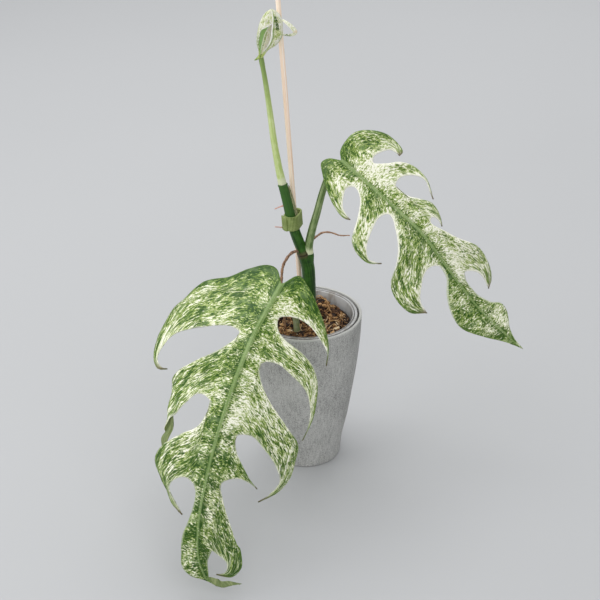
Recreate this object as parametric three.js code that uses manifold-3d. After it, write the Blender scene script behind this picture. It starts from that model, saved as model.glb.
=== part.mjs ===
// A young climbing aroid with lobed, marbled leaves. It grows in a clear nursery pot that stands
// inside a grey cachepot, and a band ties its stem to a thin wooden stake.
// Millimetres, +Z up. The origin is the middle of the cachepot's underside, and -Y is the front.

import * as THREE from 'three';
import { mergeVertices } from 'three/addons/utils/BufferGeometryUtils.js';
import { ConvexGeometry } from 'three/addons/geometries/ConvexGeometry.js';
import Module from 'manifold-3d';

const wasm = await Module();
wasm.setup();

// Clearance between pieces that touch on the real plant
const GAP = 0.3;

// Cachepot
const POT_HEIGHT = 156.5;
const POT_OUTLINE = [
  [35.8, 1.5], [37.8, 20], [42.8, 45], [47, 73], [50.9, 101], [53.8, 130], [55, POT_HEIGHT],
];
const POT_WALL = 2.5;
const POT_FLOOR = 5;
const POT_EDGE = 1.5;
const POT_SIDES = 56;
const POT_STEPS = 14;

// Nursery pot
const NURSERY_FOOT_RADIUS = 32.5;
const NURSERY_RIM_RADIUS = 46.9;
const NURSERY_RIM_HEIGHT = 155.7;
const NURSERY_WALL = 1;
const NURSERY_FOOT = POT_FLOOR + GAP;
const NURSERY_FLOOR = NURSERY_FOOT + 1.5;
const NURSERY_FLANGE_RADIUS = 51.8;
const NURSERY_FLANGE_THICKNESS = 1.6;
const NURSERY_FLANGE_FOOT = NURSERY_RIM_HEIGHT - NURSERY_FLANGE_THICKNESS;
const NURSERY_LIP = 2;
const DRAIN_RADIUS = 3.5;
const DRAIN_CIRCLE = 20;
const DRAIN_COUNT = 6;
const DRAIN_CUT = 6;

// Substrate
const SOIL_HEIGHT = 146;
const SOIL_EDGE_DROP = 1;
const SOIL_EASE = 0.4;
const SOIL_RELIEF = 1.1;
const SOIL_BROAD_BUMPS = [0.71, 0.63];
const SOIL_FINE_BUMPS = [1.3, -1.7];
const SOIL_RINGS = 8;
const SOIL_SIDES = 40;

// Stem, with the heights of its nodes
const STEM_PATH = [
  [6, -2, 116], [4.9, -0.5, 160], [4.4, 0, 186], [3, 0, 206], [-0.6, 0, 219],
  [-6.3, 0, 233.5], [-11.8, 0, 251], [-15.6, 0, 269], [-20.4, 0, 290],
];
const STEM_FOOT_RADIUS = 6.1;
const STEM_TOP_RADIUS = 4.2;
const STEM_NODES = [151, 213];
const STEM_NODE_SWELL = 0.9;
const STEM_NODE_REACH = 3.5;
const SHEATH_PATH = [[-7.5, 0.5, 257], [-10.6, 0.5, 270], [-12.9, 0.4, 280], [-14.8, 0.2, 289.5]];
const SHEATH_RADII = [1.7, 0.4];

// Petioles: path, radius at the foot and radius at the leaf
const PETIOLES = {
  petiole_lower: {
    path: [
      [-6, -14, 122], [-7.3, -18.7, 146], [-8.4, -23, 162], [-13.5, -38, 188],
      [-18.6, -52, 208.5], [-21, -61.5, 217.5],
    ],
    radii: [3.1, 2.5],
  },
  petiole_right: {
    path: [
      [3, 0, 212], [3.8, -0.6, 228], [6.6, -2, 244], [11.2, -4.5, 263.5],
      [16.8, -7.5, 288], [22.5, -8, 305], [31, -10.5, 316.5],
    ],
    radii: [4.2, 2.6],
  },
  petiole_new: {
    path: [
      [-20.5, 0, 290.6], [-23.6, 0, 306], [-27.7, 0, 332], [-31.2, 0, 361], [-35, 0, 390],
      [-38.8, -1.5, 413.5],
    ],
    radii: [3.5, 1.9],
  },
};
const PETIOLE_GREENS = { petiole_lower: 0x8fa368, petiole_right: 0x6d8a45, petiole_new: 0x9cb46a };

// Aerial roots: path, radius at the stem and radius at the tip
const ROOTS = {
  root_left: {
    path: [
      [-4, -2, 222.5], [-8.3, -4, 223.6], [-13, -6, 222], [-17.4, -8, 216.8], [-20.4, -9, 210],
      [-21.7, -10.5, 197], [-21, -12, 178], [-19.2, -13, 158], [-18, -13, 136],
    ],
    radii: [1.4, 1],
  },
  root_right: {
    path: [
      [1, 3.5, 222], [5.6, 6.4, 228.6], [11, 6.5, 233.8], [17, 7, 237.6], [24, 7.5, 237.5],
      [33, 6, 235.2], [42.5, 4.5, 235.9],
    ],
    radii: [1.3, 0.5],
  },
  root_bud_upper: { path: [[-14, -0.5, 270], [-21, -1, 268.6], [-28, -2, 266]], radii: [0.9, 0.4] },
  root_bud_lower: {
    path: [[-9, 2, 236], [-17, 4.5, 237.6], [-22.5, 4, 242], [-28, 2, 246]],
    radii: [0.9, 0.4],
  },
};

// Stake
const STAKE_FOOT = [7.2, 8, 12];
const STAKE_TOP = [-26.9, 8, 512];
const STAKE_RADIUS = 2.3;

// Spacing of a rod's rings along its path, and its number of sides
const ROD_MESH = { stem: [5, 14], sheath: [4, 8], petiole: [6, 10], root: [3.5, 7], stake: [250, 12] };

// The band: a ring round two posts, the stem and the stake, with a short tail at the left
const TIE_CENTRE = [-12, 0, 252.5];
const TIE_TILT = [-0.249, 0, 0.968];
const TIE_HEIGHT = 15;
const TIE_THICKNESS = 1.7;
const TIE_STEM_RADIUS = 5.2;
const TIE_SLACK = 1.8;
const TIE_SIDES = 24;
const TIE_TAIL = { size: [1.9, 6.5], centre: [-7.5, -1.6], turn: -0.35 };

// Leaves: thickness of the blade, keel of the rib below it, rows from rib to sinus and on to the tip
const BLADE = 0.8;
const HALF_BLADE = BLADE / 2;
const KEEL = [2.4, 0.4];
const KEEL_WIDTH = 3.5;
const KEEL_SHARE = 0.4;
const ROOT_ROWS = 3;
const FREE_ROWS = 12;
const STATION = 12;

// A leaf is laid flat first. In [u, v], u runs along the rib from its base and v across it, with
// the right half positive. A lobe's foot is where its stretch of rib ends; near and far are its
// two margins from sinus to tip; curl is how far its tip bends back, and twist how far it turns.
const LOWER_LEAF = {
  rib: [
    [-21, -62, 220], [-47, -120, 195], [-66, -164, 161], [-81, -197, 120], [-91, -223, 73],
    [-91, -233, 45], [-84, -235, 22],
  ],
  face: [[0.05, -0.45, 0.9], [0.1, -0.97, 0.1]],
  ribEnd: 288,
  tail: [[293, 3], [299, 10], [302, 18], [306, 27]],
  tailTwist: 2.2,
  halves: [
    {
      shoulder: [-16, -12],
      lobes: [
        {
          foot: 60,
          near: [[-18, -22], [-9, -39], [1, -54], [8, -80], [30, -92], [58, -94], [98, -86], [112, -74]],
          tip: [110, -65], far: [[60, -24], [66, -47], [75, -72], [85, -79], [100, -81], [109, -73]],
          sinus: [64, -13], curl: 10, twist: 0,
        },
        {
          foot: 132,
          near: [[80, -20], [100, -41], [114, -54.5], [128, -56], [143, -53], [156, -48], [169, -44]],
          tip: [186.5, -40], far: [[128, -27], [137.5, -34.5], [149, -40], [161, -39.5]],
          sinus: [132, -15], curl: 18, twist: 2.2,
        },
        {
          foot: 204,
          near: [
            [149, -16], [157, -20], [165, -31], [180, -46], [190, -48], [200, -42], [212, -32], [224, -24],
          ],
          tip: [231, -14], far: [[199, -18], [202, -26], [210, -30], [220, -23]],
          sinus: [203, -9.5], curl: 8, twist: 0,
        },
      ],
      end: [
        [210, -6.5], [222, -6.5], [234, -9], [246, -13], [262, -14.5], [271, -16], [280, -12],
        [288, -6], [295.5, 0], [301.5, 9],
      ],
    },
    {
      shoulder: [-17, 11],
      lobes: [
        {
          foot: 36, near: [[-12, 21], [0, 37], [12, 52], [26, 65]],
          tip: [42, 71], far: [[26, 22], [23, 38], [27, 55], [33, 67]],
          sinus: [34, 13], curl: 8, twist: 0,
        },
        {
          foot: 84, near: [[45, 17], [51, 27], [52, 50], [58, 63], [78, 75], [105, 82]],
          tip: [133, 81], far: [[77, 29], [80, 47], [86, 65], [100, 76], [118, 81]],
          sinus: [84, 16.5], curl: 12, twist: 0,
        },
        {
          foot: 156,
          near: [[97, 20], [113, 35], [128, 58], [141, 77], [158, 80.5], [182, 80.5], [200, 71]],
          tip: [212, 54], far: [[150, 30], [158, 45], [172, 62], [186, 70], [201, 65]],
          sinus: [154, 17], curl: 10, twist: 0,
        },
        {
          foot: 192, near: [[166, 20], [178, 29], [190, 40]],
          tip: [198, 49], far: [[191, 28], [194, 41]],
          sinus: [198, 14.5], curl: 4, twist: 0,
        },
        {
          foot: 252,
          near: [[213, 19], [231, 27], [252, 34], [280, 37], [293, 31], [296, 21]],
          tip: [287, 10], far: [[273, 19], [284, 21.5], [289, 17]],
          sinus: [262, 12.5], curl: -2, twist: 0,
        },
      ],
      end: [[270, 8], [280, 5], [291, 2.5], [298.5, 8], [303.5, 17]],
    },
  ],
};

const RIGHT_LEAF = {
  rib: [[33, -12, 319], [68, -33, 294], [103, -47, 265], [127, -54, 234], [158, -58, 193], [198, -62, 154]],
  face: [[0.1, -0.65, 0.75], [0.3, -0.75, 0.55]],
  ribEnd: 240,
  tail: [[247, 1]],
  tailTwist: 0,
  halves: [
    {
      shoulder: [-10, -7],
      lobes: [
        {
          foot: 24, near: [[-12, -14], [-4, -21], [11, -30], [26, -36], [36, -36.5]],
          tip: [42, -33], far: [[21, -16], [24, -23], [31, -31]],
          sinus: [26, -10.5], curl: 4, twist: 0,
        },
        {
          foot: 60, near: [[36, -15], [46, -29], [56, -48], [68, -53], [81, -51]],
          tip: [93, -42], far: [[60, -15], [62, -28], [69, -43], [78, -48]],
          sinus: [65, -8], curl: 8, twist: 0,
        },
        {
          foot: 132, near: [[80, -16], [103, -34], [119, -49], [138, -53], [152, -49]],
          tip: [162, -36], far: [[127, -12], [130, -22], [145, -35]],
          sinus: [133, -4.5], curl: 8, twist: 0,
        },
      ],
      end: [[145, -6.5], [158, -16], [175, -23], [189, -24], [210, -15], [228, -6]],
    },
    {
      shoulder: [-7, 6],
      lobes: [
        {
          foot: 24, near: [[-11, 18], [-12, 35], [-4, 53], [8, 67], [21, 68], [29, 63]],
          tip: [30, 56], far: [[17, 27], [17, 38], [21, 53]],
          sinus: [21, 22], curl: 8, twist: 0,
        },
        {
          foot: 48, near: [[29, 31], [38, 47], [50, 56], [66, 55], [79, 49]],
          tip: [87, 42], far: [[49, 29], [55, 42], [68, 50]],
          sinus: [52, 19], curl: 6, twist: 0,
        },
        {
          foot: 96, near: [[66, 20], [76, 27], [88, 34], [99, 31]],
          tip: [108, 25], far: [[95, 20], [100, 25]],
          sinus: [98, 15.5], curl: 4, twist: 0,
        },
        {
          foot: 144, near: [[114, 24], [128, 32], [150, 47], [164, 50], [178, 45], [187, 38]],
          tip: [190, 29], far: [[164, 25], [176, 29]],
          sinus: [154, 12.5], curl: 8, twist: 0,
        },
      ],
      end: [[163, 8.5], [180, 10], [194, 15], [205, 22.5], [214, 21], [224, 9.5], [235, 3]],
    },
  ],
};

// Droop of each half of a blade: its fold at the rib, its bend per millimetre, and its waves
const FOLD = 0.14;
const BEND = 0.006;
const WAVE_HEIGHT = 1.2;
const WAVE_LENGTH = 38;
const WAVE_REACH = 40;
const WAVE_SLANT = 0.4;
const CURVE_SAMPLES = 400;

// Newest leaf: height, middle, half width and half depth of each hoop of the cupped blade
const NEW_LEAF_HOOPS = [
  [412.8, -38.4, 1.4, 1], [419.5, -36.2, 4, 3], [425, -33, 8.5, 5.5], [432, -30.6, 10.7, 7],
  [438.5, -29.8, 10.3, 7], [445, -29, 9.3, 6.5], [450.5, -28.6, 6.8, 5], [454, -28.6, 3.2, 2.6],
  [455.4, -28.6, 0.7, 0.6],
];
const NEW_LEAF_MIDDLE_Y = -5;
const NEW_LEAF_MARGINS = [3.75, -1.1];
const NEW_LEAF_MESH = [18, 16];
const NEW_LEAF_LOBE = [
  [-19.5, -7, 447], [-15.2, -8.5, 444.4], [-10.6, -8.5, 440], [-8.4, -7.5, 435.8],
  [-11, -6, 433.4], [-15, -5.5, 433], [-20, -5.5, 433.6],
];
const NEW_LEAF_LOBE_SECTION = [0.45, 1.7];
const NEW_LEAF_LOBE_MESH = [14, 8];

const vector = (p) => new THREE.Vector3(...p);
const spline = (points) => new THREE.CatmullRomCurve3(points.map(vector), false, 'centripetal');
const mix = (a, b, t) => a + (b - a) * t;
const mixPoints = (a, b, t) => a.map((value, i) => mix(value, b[i], t));

// Turns a closed geometry into a solid for cuts and joins
function solid(geometry) {
  const bare = geometry.index ? geometry.clone() : geometry;
  for (const name of Object.keys(bare.attributes)) {
    if (name !== 'position') bare.deleteAttribute(name);
  }
  const merged = mergeVertices(bare, 1e-4);
  const triangles = [];
  for (let i = 0; i < merged.index.count; i += 3) {
    const [a, b, c] = [0, 1, 2].map((k) => merged.index.getX(i + k));
    if (a !== b && b !== c && a !== c) triangles.push(a, b, c);
  }
  return new wasm.Manifold(new wasm.Mesh({
    numProp: 3,
    vertProperties: new Float32Array(merged.attributes.position.array),
    triVerts: new Uint32Array(triangles),
  }));
}

function geometryOf(body) {
  const mesh = body.getMesh();
  const geometry = new THREE.BufferGeometry();
  geometry.setAttribute('position', new THREE.BufferAttribute(mesh.vertProperties, 3));
  geometry.setIndex(new THREE.BufferAttribute(mesh.triVerts, 1));
  return geometry;
}

// Cuts every tool out of the piece and keeps the largest part that is left
function trim(piece, ...tools) {
  const cut = tools.reduce((body, tool) => body.subtract(tool), piece);
  return cut.decompose().reduce((best, part) => (part.volume() > best.volume() ? part : best));
}

// A round rod along a path, with a radius for each fraction of its length
function rod(path, radiusAt, [step, sides]) {
  const curve = spline(path);
  const steps = Math.max(2, Math.round(curve.getLength() / step));
  const disc = new THREE.Shape();
  disc.absarc(0, 0, 1, 0, 2 * Math.PI);
  const outline = new THREE.Shape(disc.getSpacedPoints(sides).slice(0, sides));
  const geometry = new THREE.ExtrudeGeometry(outline, { steps, extrudePath: curve, bevelEnabled: false });
  const spine = curve.getSpacedPoints(steps);
  const position = geometry.attributes.position;
  const point = new THREE.Vector3();
  for (let i = 0; i < position.count; i += 1) {
    point.fromBufferAttribute(position, i);
    let nearest = 0;
    spine.forEach((p, k) => {
      if (p.distanceTo(point) < spine[nearest].distanceTo(point)) nearest = k;
    });
    point.sub(spine[nearest]).multiplyScalar(radiusAt(nearest / steps, spine[nearest])).add(spine[nearest]);
    position.setXYZ(i, point.x, point.y, point.z);
  }
  return solid(geometry);
}

const taper = ([foot, tip], extra = 0) => (t) => mix(foot, tip, t) + extra;

function lathe(profile, sides) {
  const geometry = new THREE.LatheGeometry(profile.map(([r, z]) => new THREE.Vector2(r, z)), sides);
  return geometry.rotateX(Math.PI / 2);
}

// Both faces and the rim of a blade, alike triangle for triangle
function thicken(surface, over, under) {
  surface.computeVertexNormals();
  const { position, normal, keel } = surface.attributes;
  const count = position.count;
  const points = new Float32Array(count * 6);
  for (let i = 0; i < count; i += 1) {
    const p = new THREE.Vector3().fromBufferAttribute(position, i);
    const n = new THREE.Vector3().fromBufferAttribute(normal, i);
    p.clone().addScaledVector(n, over).toArray(points, i * 3);
    p.addScaledVector(n, -under - (keel ? keel.getX(i) : 0)).toArray(points, (i + count) * 3);
  }
  const top = surface.index.array;
  const faces = [];
  const edges = new Map();
  for (let i = 0; i < top.length; i += 3) {
    const [a, b, c] = top.slice(i, i + 3);
    faces.push(a, b, c, a + count, c + count, b + count);
    for (const [p, q] of [[a, b], [b, c], [c, a]]) edges.set(`${p} ${q}`, [p, q]);
  }
  for (const [p, q] of edges.values()) {
    if (!edges.has(`${q} ${p}`)) faces.push(q, p, p + count, q, p + count, q + count);
  }
  const geometry = new THREE.BufferGeometry();
  geometry.setAttribute('position', new THREE.BufferAttribute(points, 3));
  geometry.setIndex(faces);
  return solid(geometry);
}

// An open surface from grids of points, with shared edges merged and collapsed triangles left out
function surfaceOf(grids) {
  const points = [];
  const keels = [];
  const faces = [];
  for (const { rows, flip } of grids) {
    const start = points.length / 3;
    const width = rows[0].length;
    for (const { place, keel } of rows.flat()) {
      points.push(place.x, place.y, place.z);
      keels.push(keel);
    }
    for (let j = 0; j + 1 < rows.length; j += 1) {
      for (let k = 0; k + 1 < width; k += 1) {
        const a = start + j * width + k;
        const quad = flip ? [a, a + width, a + width + 1, a + 1] : [a, a + 1, a + width + 1, a + width];
        faces.push(quad[0], quad[1], quad[2], quad[0], quad[2], quad[3]);
      }
    }
  }
  const loose = new THREE.BufferGeometry();
  loose.setAttribute('position', new THREE.Float32BufferAttribute(points, 3));
  loose.setAttribute('keel', new THREE.Float32BufferAttribute(keels, 1));
  loose.setIndex(faces);
  const merged = mergeVertices(loose, 1e-3);
  const kept = [];
  for (let i = 0; i < merged.index.count; i += 3) {
    const [a, b, c] = [0, 1, 2].map((k) => merged.index.getX(i + k));
    if (a !== b && b !== c && a !== c) kept.push(a, b, c);
  }
  merged.setIndex(kept);
  return merged;
}

// Splits the smooth curve through the points at one of them; both parts as evenly spaced points
function marginParts(points, split, counts) {
  const curve = spline(points.map(([u, v]) => [u, v, 0]));
  const at = split / (points.length - 1);
  return [[0, at], [at, 1]].map(([from, to], part) => {
    const pointAt = (_, i) => curve.getPoint(mix(from, to, i / CURVE_SAMPLES));
    const fine = Array.from({ length: CURVE_SAMPLES + 1 }, pointAt);
    const reach = [0];
    for (let i = 1; i < fine.length; i += 1) reach.push(reach[i - 1] + fine[i].distanceTo(fine[i - 1]));
    return Array.from({ length: counts[part] + 1 }, (_, k) => {
      const goal = (reach.at(-1) * k) / counts[part];
      const i = Math.max(1, reach.findIndex((length) => length >= goal - 1e-9));
      const t = (goal - reach[i - 1]) / (reach[i] - reach[i - 1]);
      return [mix(fine[i - 1].x, fine[i].x, t), mix(fine[i - 1].y, fine[i].y, t)];
    });
  });
}

// Places a flat leaf point in space: along the arched rib, and down the drooping half
function placer(leaf) {
  const curve = spline(leaf.rib);
  curve.arcLengthDivisions = CURVE_SAMPLES;
  const length = curve.getLength();
  const [faceBase, faceTip] = leaf.face.map(vector);
  return (u, v) => {
    const f = THREE.MathUtils.clamp(u / length, 0, 1);
    const along = curve.getTangentAt(f);
    const place = curve.getPointAt(f).addScaledVector(along, u - f * length);
    const across = faceBase.clone().lerp(faceTip, f).cross(along).normalize();
    const up = along.clone().cross(across);
    const reach = Math.abs(v);
    const end = FOLD + reach * BEND;
    const out = ((Math.sin(end) - Math.sin(FOLD)) / BEND) * Math.sign(v);
    const wave = Math.sin((2 * Math.PI * (u - WAVE_SLANT * reach)) / WAVE_LENGTH);
    const ripple = wave * Math.min(1, reach / WAVE_REACH) ** 2;
    const down = (Math.cos(FOLD) - Math.cos(end)) / BEND - WAVE_HEIGHT * ripple;
    return { place: place.addScaledVector(across, out).addScaledVector(up, -down), up };
  };
}

function ribLine(leaf) {
  const stations = Array.from({ length: leaf.ribEnd / STATION + 1 }, (_, k) => [k * STATION, 0]);
  return stations.concat(leaf.tail);
}

// Fractions of the way from the rib to a sinus, the first at the keel's edge
function rootFractions(foot, sinus) {
  const first = Math.min(KEEL_SHARE, KEEL_WIDTH / Math.hypot(sinus[0] - foot[0], sinus[1] - foot[1]));
  const later = Array.from({ length: ROOT_ROWS }, (_, j) => mix(first, 1, j / (ROOT_ROWS - 1)));
  return [0, ...later];
}

function rootLine(foot, sinus) {
  return rootFractions(foot, sinus).map((t) => mixPoints(foot, sinus, t));
}

// Rows of one lobe, from its stretch of rib out to its tip
function lobeRows(leaf, at, lobe, from, near, far) {
  const columns = (lobe.foot - from) / STATION;
  const rows = near.map((start, j) => Array.from({ length: columns + 1 }, (_, k) => {
    const flat = j === 0 ? [from + k * STATION, 0] : mixPoints(start, far[j], k / columns);
    const spot = at(...flat);
    const keel = j === 0 ? mix(...KEEL, flat[0] / leaf.ribEnd) : 0;
    const free = Math.max(0, (j - ROOT_ROWS) / FREE_ROWS);
    return { place: spot.place.addScaledVector(spot.up, -lobe.curl * free ** 2), keel, free };
  }));
  return twistRows(rows, lobe.twist, (row) => row[0].place.clone().lerp(row.at(-1).place, 0.5));
}

// Turns each row about the line through the rows' centres, more and more towards the tip
function twistRows(rows, angle, centreOf) {
  if (!angle) return rows;
  const centres = rows.map(centreOf);
  rows.forEach((row, j) => {
    const before = centres[Math.max(j - 1, 0)];
    const after = centres[Math.min(j + 1, rows.length - 1)];
    const axis = after.clone().sub(before).normalize();
    for (const spot of row) {
      spot.place.sub(centres[j]).applyAxisAngle(axis, angle * spot.free ** 4).add(centres[j]);
    }
  });
  return rows;
}

// Rows of one half of the end lobe, each from the rib out to the margin
function endRows(leaf, at, half, line, from, sinus) {
  const start = from / STATION;
  const stretch = line.slice(start);
  const fractions = rootFractions(stretch[0], sinus);
  const edge = [sinus, ...half.end, line.at(-1)];
  const [margin] = marginParts(edge, edge.length - 1, [stretch.length - 1, 1]);
  const rows = stretch.map((rib, i) => fractions.map((t, k) => {
    const flat = mixPoints(rib, margin[i], t);
    const free = Math.max(0, (start + i - leaf.ribEnd / STATION) / leaf.tail.length);
    const keel = k === 0 ? mix(...KEEL, Math.min(1, rib[0] / leaf.ribEnd)) : 0;
    return { place: at(...flat).place, keel, free };
  }));
  return twistRows(rows, leaf.tailTwist, (row) => row[0].place.clone());
}

function leafSurface(leaf) {
  const at = placer(leaf);
  const line = ribLine(leaf);
  const grids = [];
  leaf.halves.forEach((half, side) => {
    const counts = [FREE_ROWS, FREE_ROWS];
    let from = 0;
    let nearPart = marginParts(
      [[0, 0], half.shoulder, ...half.lobes[0].near, half.lobes[0].tip], 1, [ROOT_ROWS, FREE_ROWS],
    );
    let near = [...nearPart[0], ...nearPart[1].slice(1)];
    half.lobes.forEach((lobe, i) => {
      const next = half.lobes[i + 1];
      const foot = [lobe.foot, 0];
      const cut = [lobe.tip, ...lobe.far.toReversed(), lobe.sinus];
      const root = rootLine(foot, lobe.sinus);
      const beyond = next ? [...next.near, next.tip] : half.end;
      const parts = marginParts([...cut, ...beyond], cut.length - 1, counts);
      const far = [...root, ...parts[0].toReversed().slice(1)];
      grids.push({ rows: lobeRows(leaf, at, lobe, from, near, far), flip: side === 0 });
      near = [...root, ...parts[1].slice(1)];
      from = lobe.foot;
    });
    const sinus = half.lobes.at(-1).sinus;
    grids.push({ rows: endRows(leaf, at, half, line, from, sinus), flip: side === 1 });
  });
  return surfaceOf(grids);
}

// The newest blade: an open cup whose margins meet at the front, closed over at its top
function newLeafSurface() {
  const hoops = spline(NEW_LEAF_HOOPS.map(([z, x, width]) => [z, x, width]));
  const depths = spline(NEW_LEAF_HOOPS.map(([z, , , depth]) => [z, depth, 0]));
  const [steps, turns] = NEW_LEAF_MESH;
  const rows = Array.from({ length: steps + 1 }, (_, j) => {
    const hoop = hoops.getPoint(j / steps);
    const depth = depths.getPoint(j / steps).y;
    return Array.from({ length: turns + 1 }, (_, k) => {
      const angle = mix(...NEW_LEAF_MARGINS, k / turns);
      const place = new THREE.Vector3(
        hoop.y + hoop.z * Math.cos(angle), NEW_LEAF_MIDDLE_Y + depth * Math.sin(angle), hoop.x,
      );
      return { place, keel: 0 };
    });
  });
  return surfaceOf([{ rows, flip: true }]);
}

function newLeaf(extra = 0) {
  const cup = thicken(newLeafSurface(), BLADE / 2 + extra, BLADE / 2 + extra);
  const [thick, wide] = NEW_LEAF_LOBE_SECTION.map((size) => size + extra);
  const section = new THREE.Shape();
  section.absellipse(0, 0, thick, wide, 0, 2 * Math.PI);
  const [steps, sides] = NEW_LEAF_LOBE_MESH;
  const outline = new THREE.Shape(section.getSpacedPoints(sides).slice(0, sides));
  const extrudePath = spline(NEW_LEAF_LOBE);
  return cup.add(solid(new THREE.ExtrudeGeometry(outline, { steps, extrudePath, bevelEnabled: false })));
}

// Pots and substrate
function cachepot() {
  const wall = new THREE.SplineCurve(POT_OUTLINE.map(([r, z]) => new THREE.Vector2(r, z)));
  const outer = wall.getPoints(POT_STEPS).map(({ x, y }) => [x, y]);
  const inner = outer.map(([r, z]) => [r - POT_WALL, z]).filter(([, z]) => z > POT_FLOOR).reverse();
  const [footRadius] = POT_OUTLINE[0];
  const [floorRadius] = inner.at(-1);
  return lathe([
    [0, 0], [footRadius - POT_EDGE, 0], ...outer,
    ...inner, [floorRadius - POT_EDGE, POT_FLOOR], [0, POT_FLOOR],
  ], POT_SIDES);
}

function nurseryPot() {
  const wall = NURSERY_WALL;
  const lip = NURSERY_FLANGE_FOOT - NURSERY_LIP;
  const shell = solid(lathe([
    [0, NURSERY_FOOT], [NURSERY_FOOT_RADIUS, NURSERY_FOOT], [NURSERY_RIM_RADIUS, NURSERY_FLANGE_FOOT],
    [NURSERY_FLANGE_RADIUS - wall, NURSERY_FLANGE_FOOT], [NURSERY_FLANGE_RADIUS - wall, lip],
    [NURSERY_FLANGE_RADIUS, lip], [NURSERY_FLANGE_RADIUS, NURSERY_RIM_HEIGHT],
    [NURSERY_RIM_RADIUS - wall, NURSERY_RIM_HEIGHT], [NURSERY_FOOT_RADIUS - wall, NURSERY_FLOOR],
    [0, NURSERY_FLOOR],
  ], POT_SIDES));
  const holes = Array.from({ length: DRAIN_COUNT }, (_, i) => {
    const turn = (2 * Math.PI * i) / DRAIN_COUNT;
    const hole = new THREE.CylinderGeometry(DRAIN_RADIUS, DRAIN_RADIUS, DRAIN_CUT, 12).rotateX(Math.PI / 2);
    return solid(hole.translate(DRAIN_CIRCLE, 0, NURSERY_FOOT).rotateZ(turn));
  });
  return trim(shell, ...holes);
}

// Largest radius that clears the nursery pot's wall at a height
function soilRadiusAt(z) {
  const rise = (z - NURSERY_FOOT) / (NURSERY_FLANGE_FOOT - NURSERY_FOOT);
  return mix(NURSERY_FOOT_RADIUS, NURSERY_RIM_RADIUS, rise) - NURSERY_WALL - GAP - SOIL_EASE;
}

function substrate(holes) {
  const foot = NURSERY_FLOOR + GAP;
  const edge = soilRadiusAt(SOIL_HEIGHT);
  const ring = (_, i) => [edge * (1 - (i + 1) / SOIL_RINGS), SOIL_HEIGHT];
  const rings = Array.from({ length: SOIL_RINGS }, ring);
  const profile = [[0, foot], [soilRadiusAt(foot), foot], [edge, SOIL_HEIGHT - SOIL_EDGE_DROP], ...rings];
  const geometry = lathe(profile, SOIL_SIDES);
  const position = geometry.attributes.position;
  for (let i = 0; i < position.count; i += 1) {
    const [x, y, z] = [position.getX(i), position.getY(i), position.getZ(i)];
    if (z === SOIL_HEIGHT) {
      const broad = Math.sin(x * SOIL_BROAD_BUMPS[0]) * Math.cos(y * SOIL_BROAD_BUMPS[1]);
      const fine = Math.sin(x * SOIL_FINE_BUMPS[0] + y * SOIL_FINE_BUMPS[1]);
      position.setZ(i, z + SOIL_RELIEF * (broad + fine / 2));
    }
  }
  return trim(solid(geometry), ...holes);
}

// Stem with swollen nodes, and the dry sheath that stands at its top
const stemRadius = (extra) => (t, { z }) => {
  const swells = STEM_NODES.map((node) => Math.exp(-(((z - node) / STEM_NODE_REACH) ** 2)));
  return mix(STEM_FOOT_RADIUS, STEM_TOP_RADIUS, t) + STEM_NODE_SWELL * Math.max(...swells) + extra;
};

function stem(extra = 0) {
  const sheath = rod(SHEATH_PATH, taper(SHEATH_RADII, extra), ROD_MESH.sheath);
  return rod(STEM_PATH, stemRadius(extra), ROD_MESH.stem).add(sheath);
}

function petiole(name, extra = 0) {
  const { path, radii } = PETIOLES[name];
  return rod(path, taper(radii, extra), ROD_MESH.petiole);
}

function root(name, extra = 0) {
  const { path, radii } = ROOTS[name];
  return rod(path, taper(radii, extra), ROD_MESH.root);
}

function stake(extra = 0) {
  return rod([STAKE_FOOT, STAKE_TOP], () => STAKE_RADIUS + extra, ROD_MESH.stake);
}

// The band: the hull of two posts, less the hull inside it, with its tail
function tie(stemBody, stakeBody) {
  const centre = vector(TIE_CENTRE);
  const tilt = vector(TIE_TILT).normalize();
  const turn = new THREE.Quaternion().setFromUnitVectors(new THREE.Vector3(0, 0, 1), tilt);
  const rise = (centre.z - STAKE_FOOT[2]) / (STAKE_TOP[2] - STAKE_FOOT[2]);
  const stakeCentre = vector(mixPoints(STAKE_FOOT, STAKE_TOP, rise)).sub(centre);
  const posts = [[0, 0, TIE_STEM_RADIUS], [stakeCentre.x, stakeCentre.y, STAKE_RADIUS + TIE_SLACK]];
  const placed = (geometry) => solid(geometry.applyQuaternion(turn).translate(...centre));
  const hull = (extra, height) => {
    const points = posts.flatMap(([x, y, radius]) => {
      const post = new THREE.CylinderGeometry(radius + extra, radius + extra, height, TIE_SIDES);
      const { position } = post.rotateX(Math.PI / 2).translate(x, y, 0).attributes;
      const pointAt = (_, i) => new THREE.Vector3().fromBufferAttribute(position, i);
      return Array.from({ length: position.count }, pointAt);
    });
    return placed(new ConvexGeometry(points));
  };
  const [thick, length] = TIE_TAIL.size;
  const tail = new THREE.BoxGeometry(thick, length, TIE_HEIGHT).rotateZ(TIE_TAIL.turn);
  const band = hull(GAP + TIE_THICKNESS, TIE_HEIGHT).add(placed(tail.translate(...TIE_TAIL.centre, 0)));
  return trim(band, hull(GAP, 2 * TIE_HEIGHT), stemBody, stakeBody);
}

// Assembly: each piece is trimmed to leave its clearance to the pieces that it grows from or stands in
const wideStem = stem(GAP);
const wideStake = stake(GAP);
const lowerSurface = leafSurface(LOWER_LEAF);
const rightSurface = leafSurface(RIGHT_LEAF);

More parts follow.
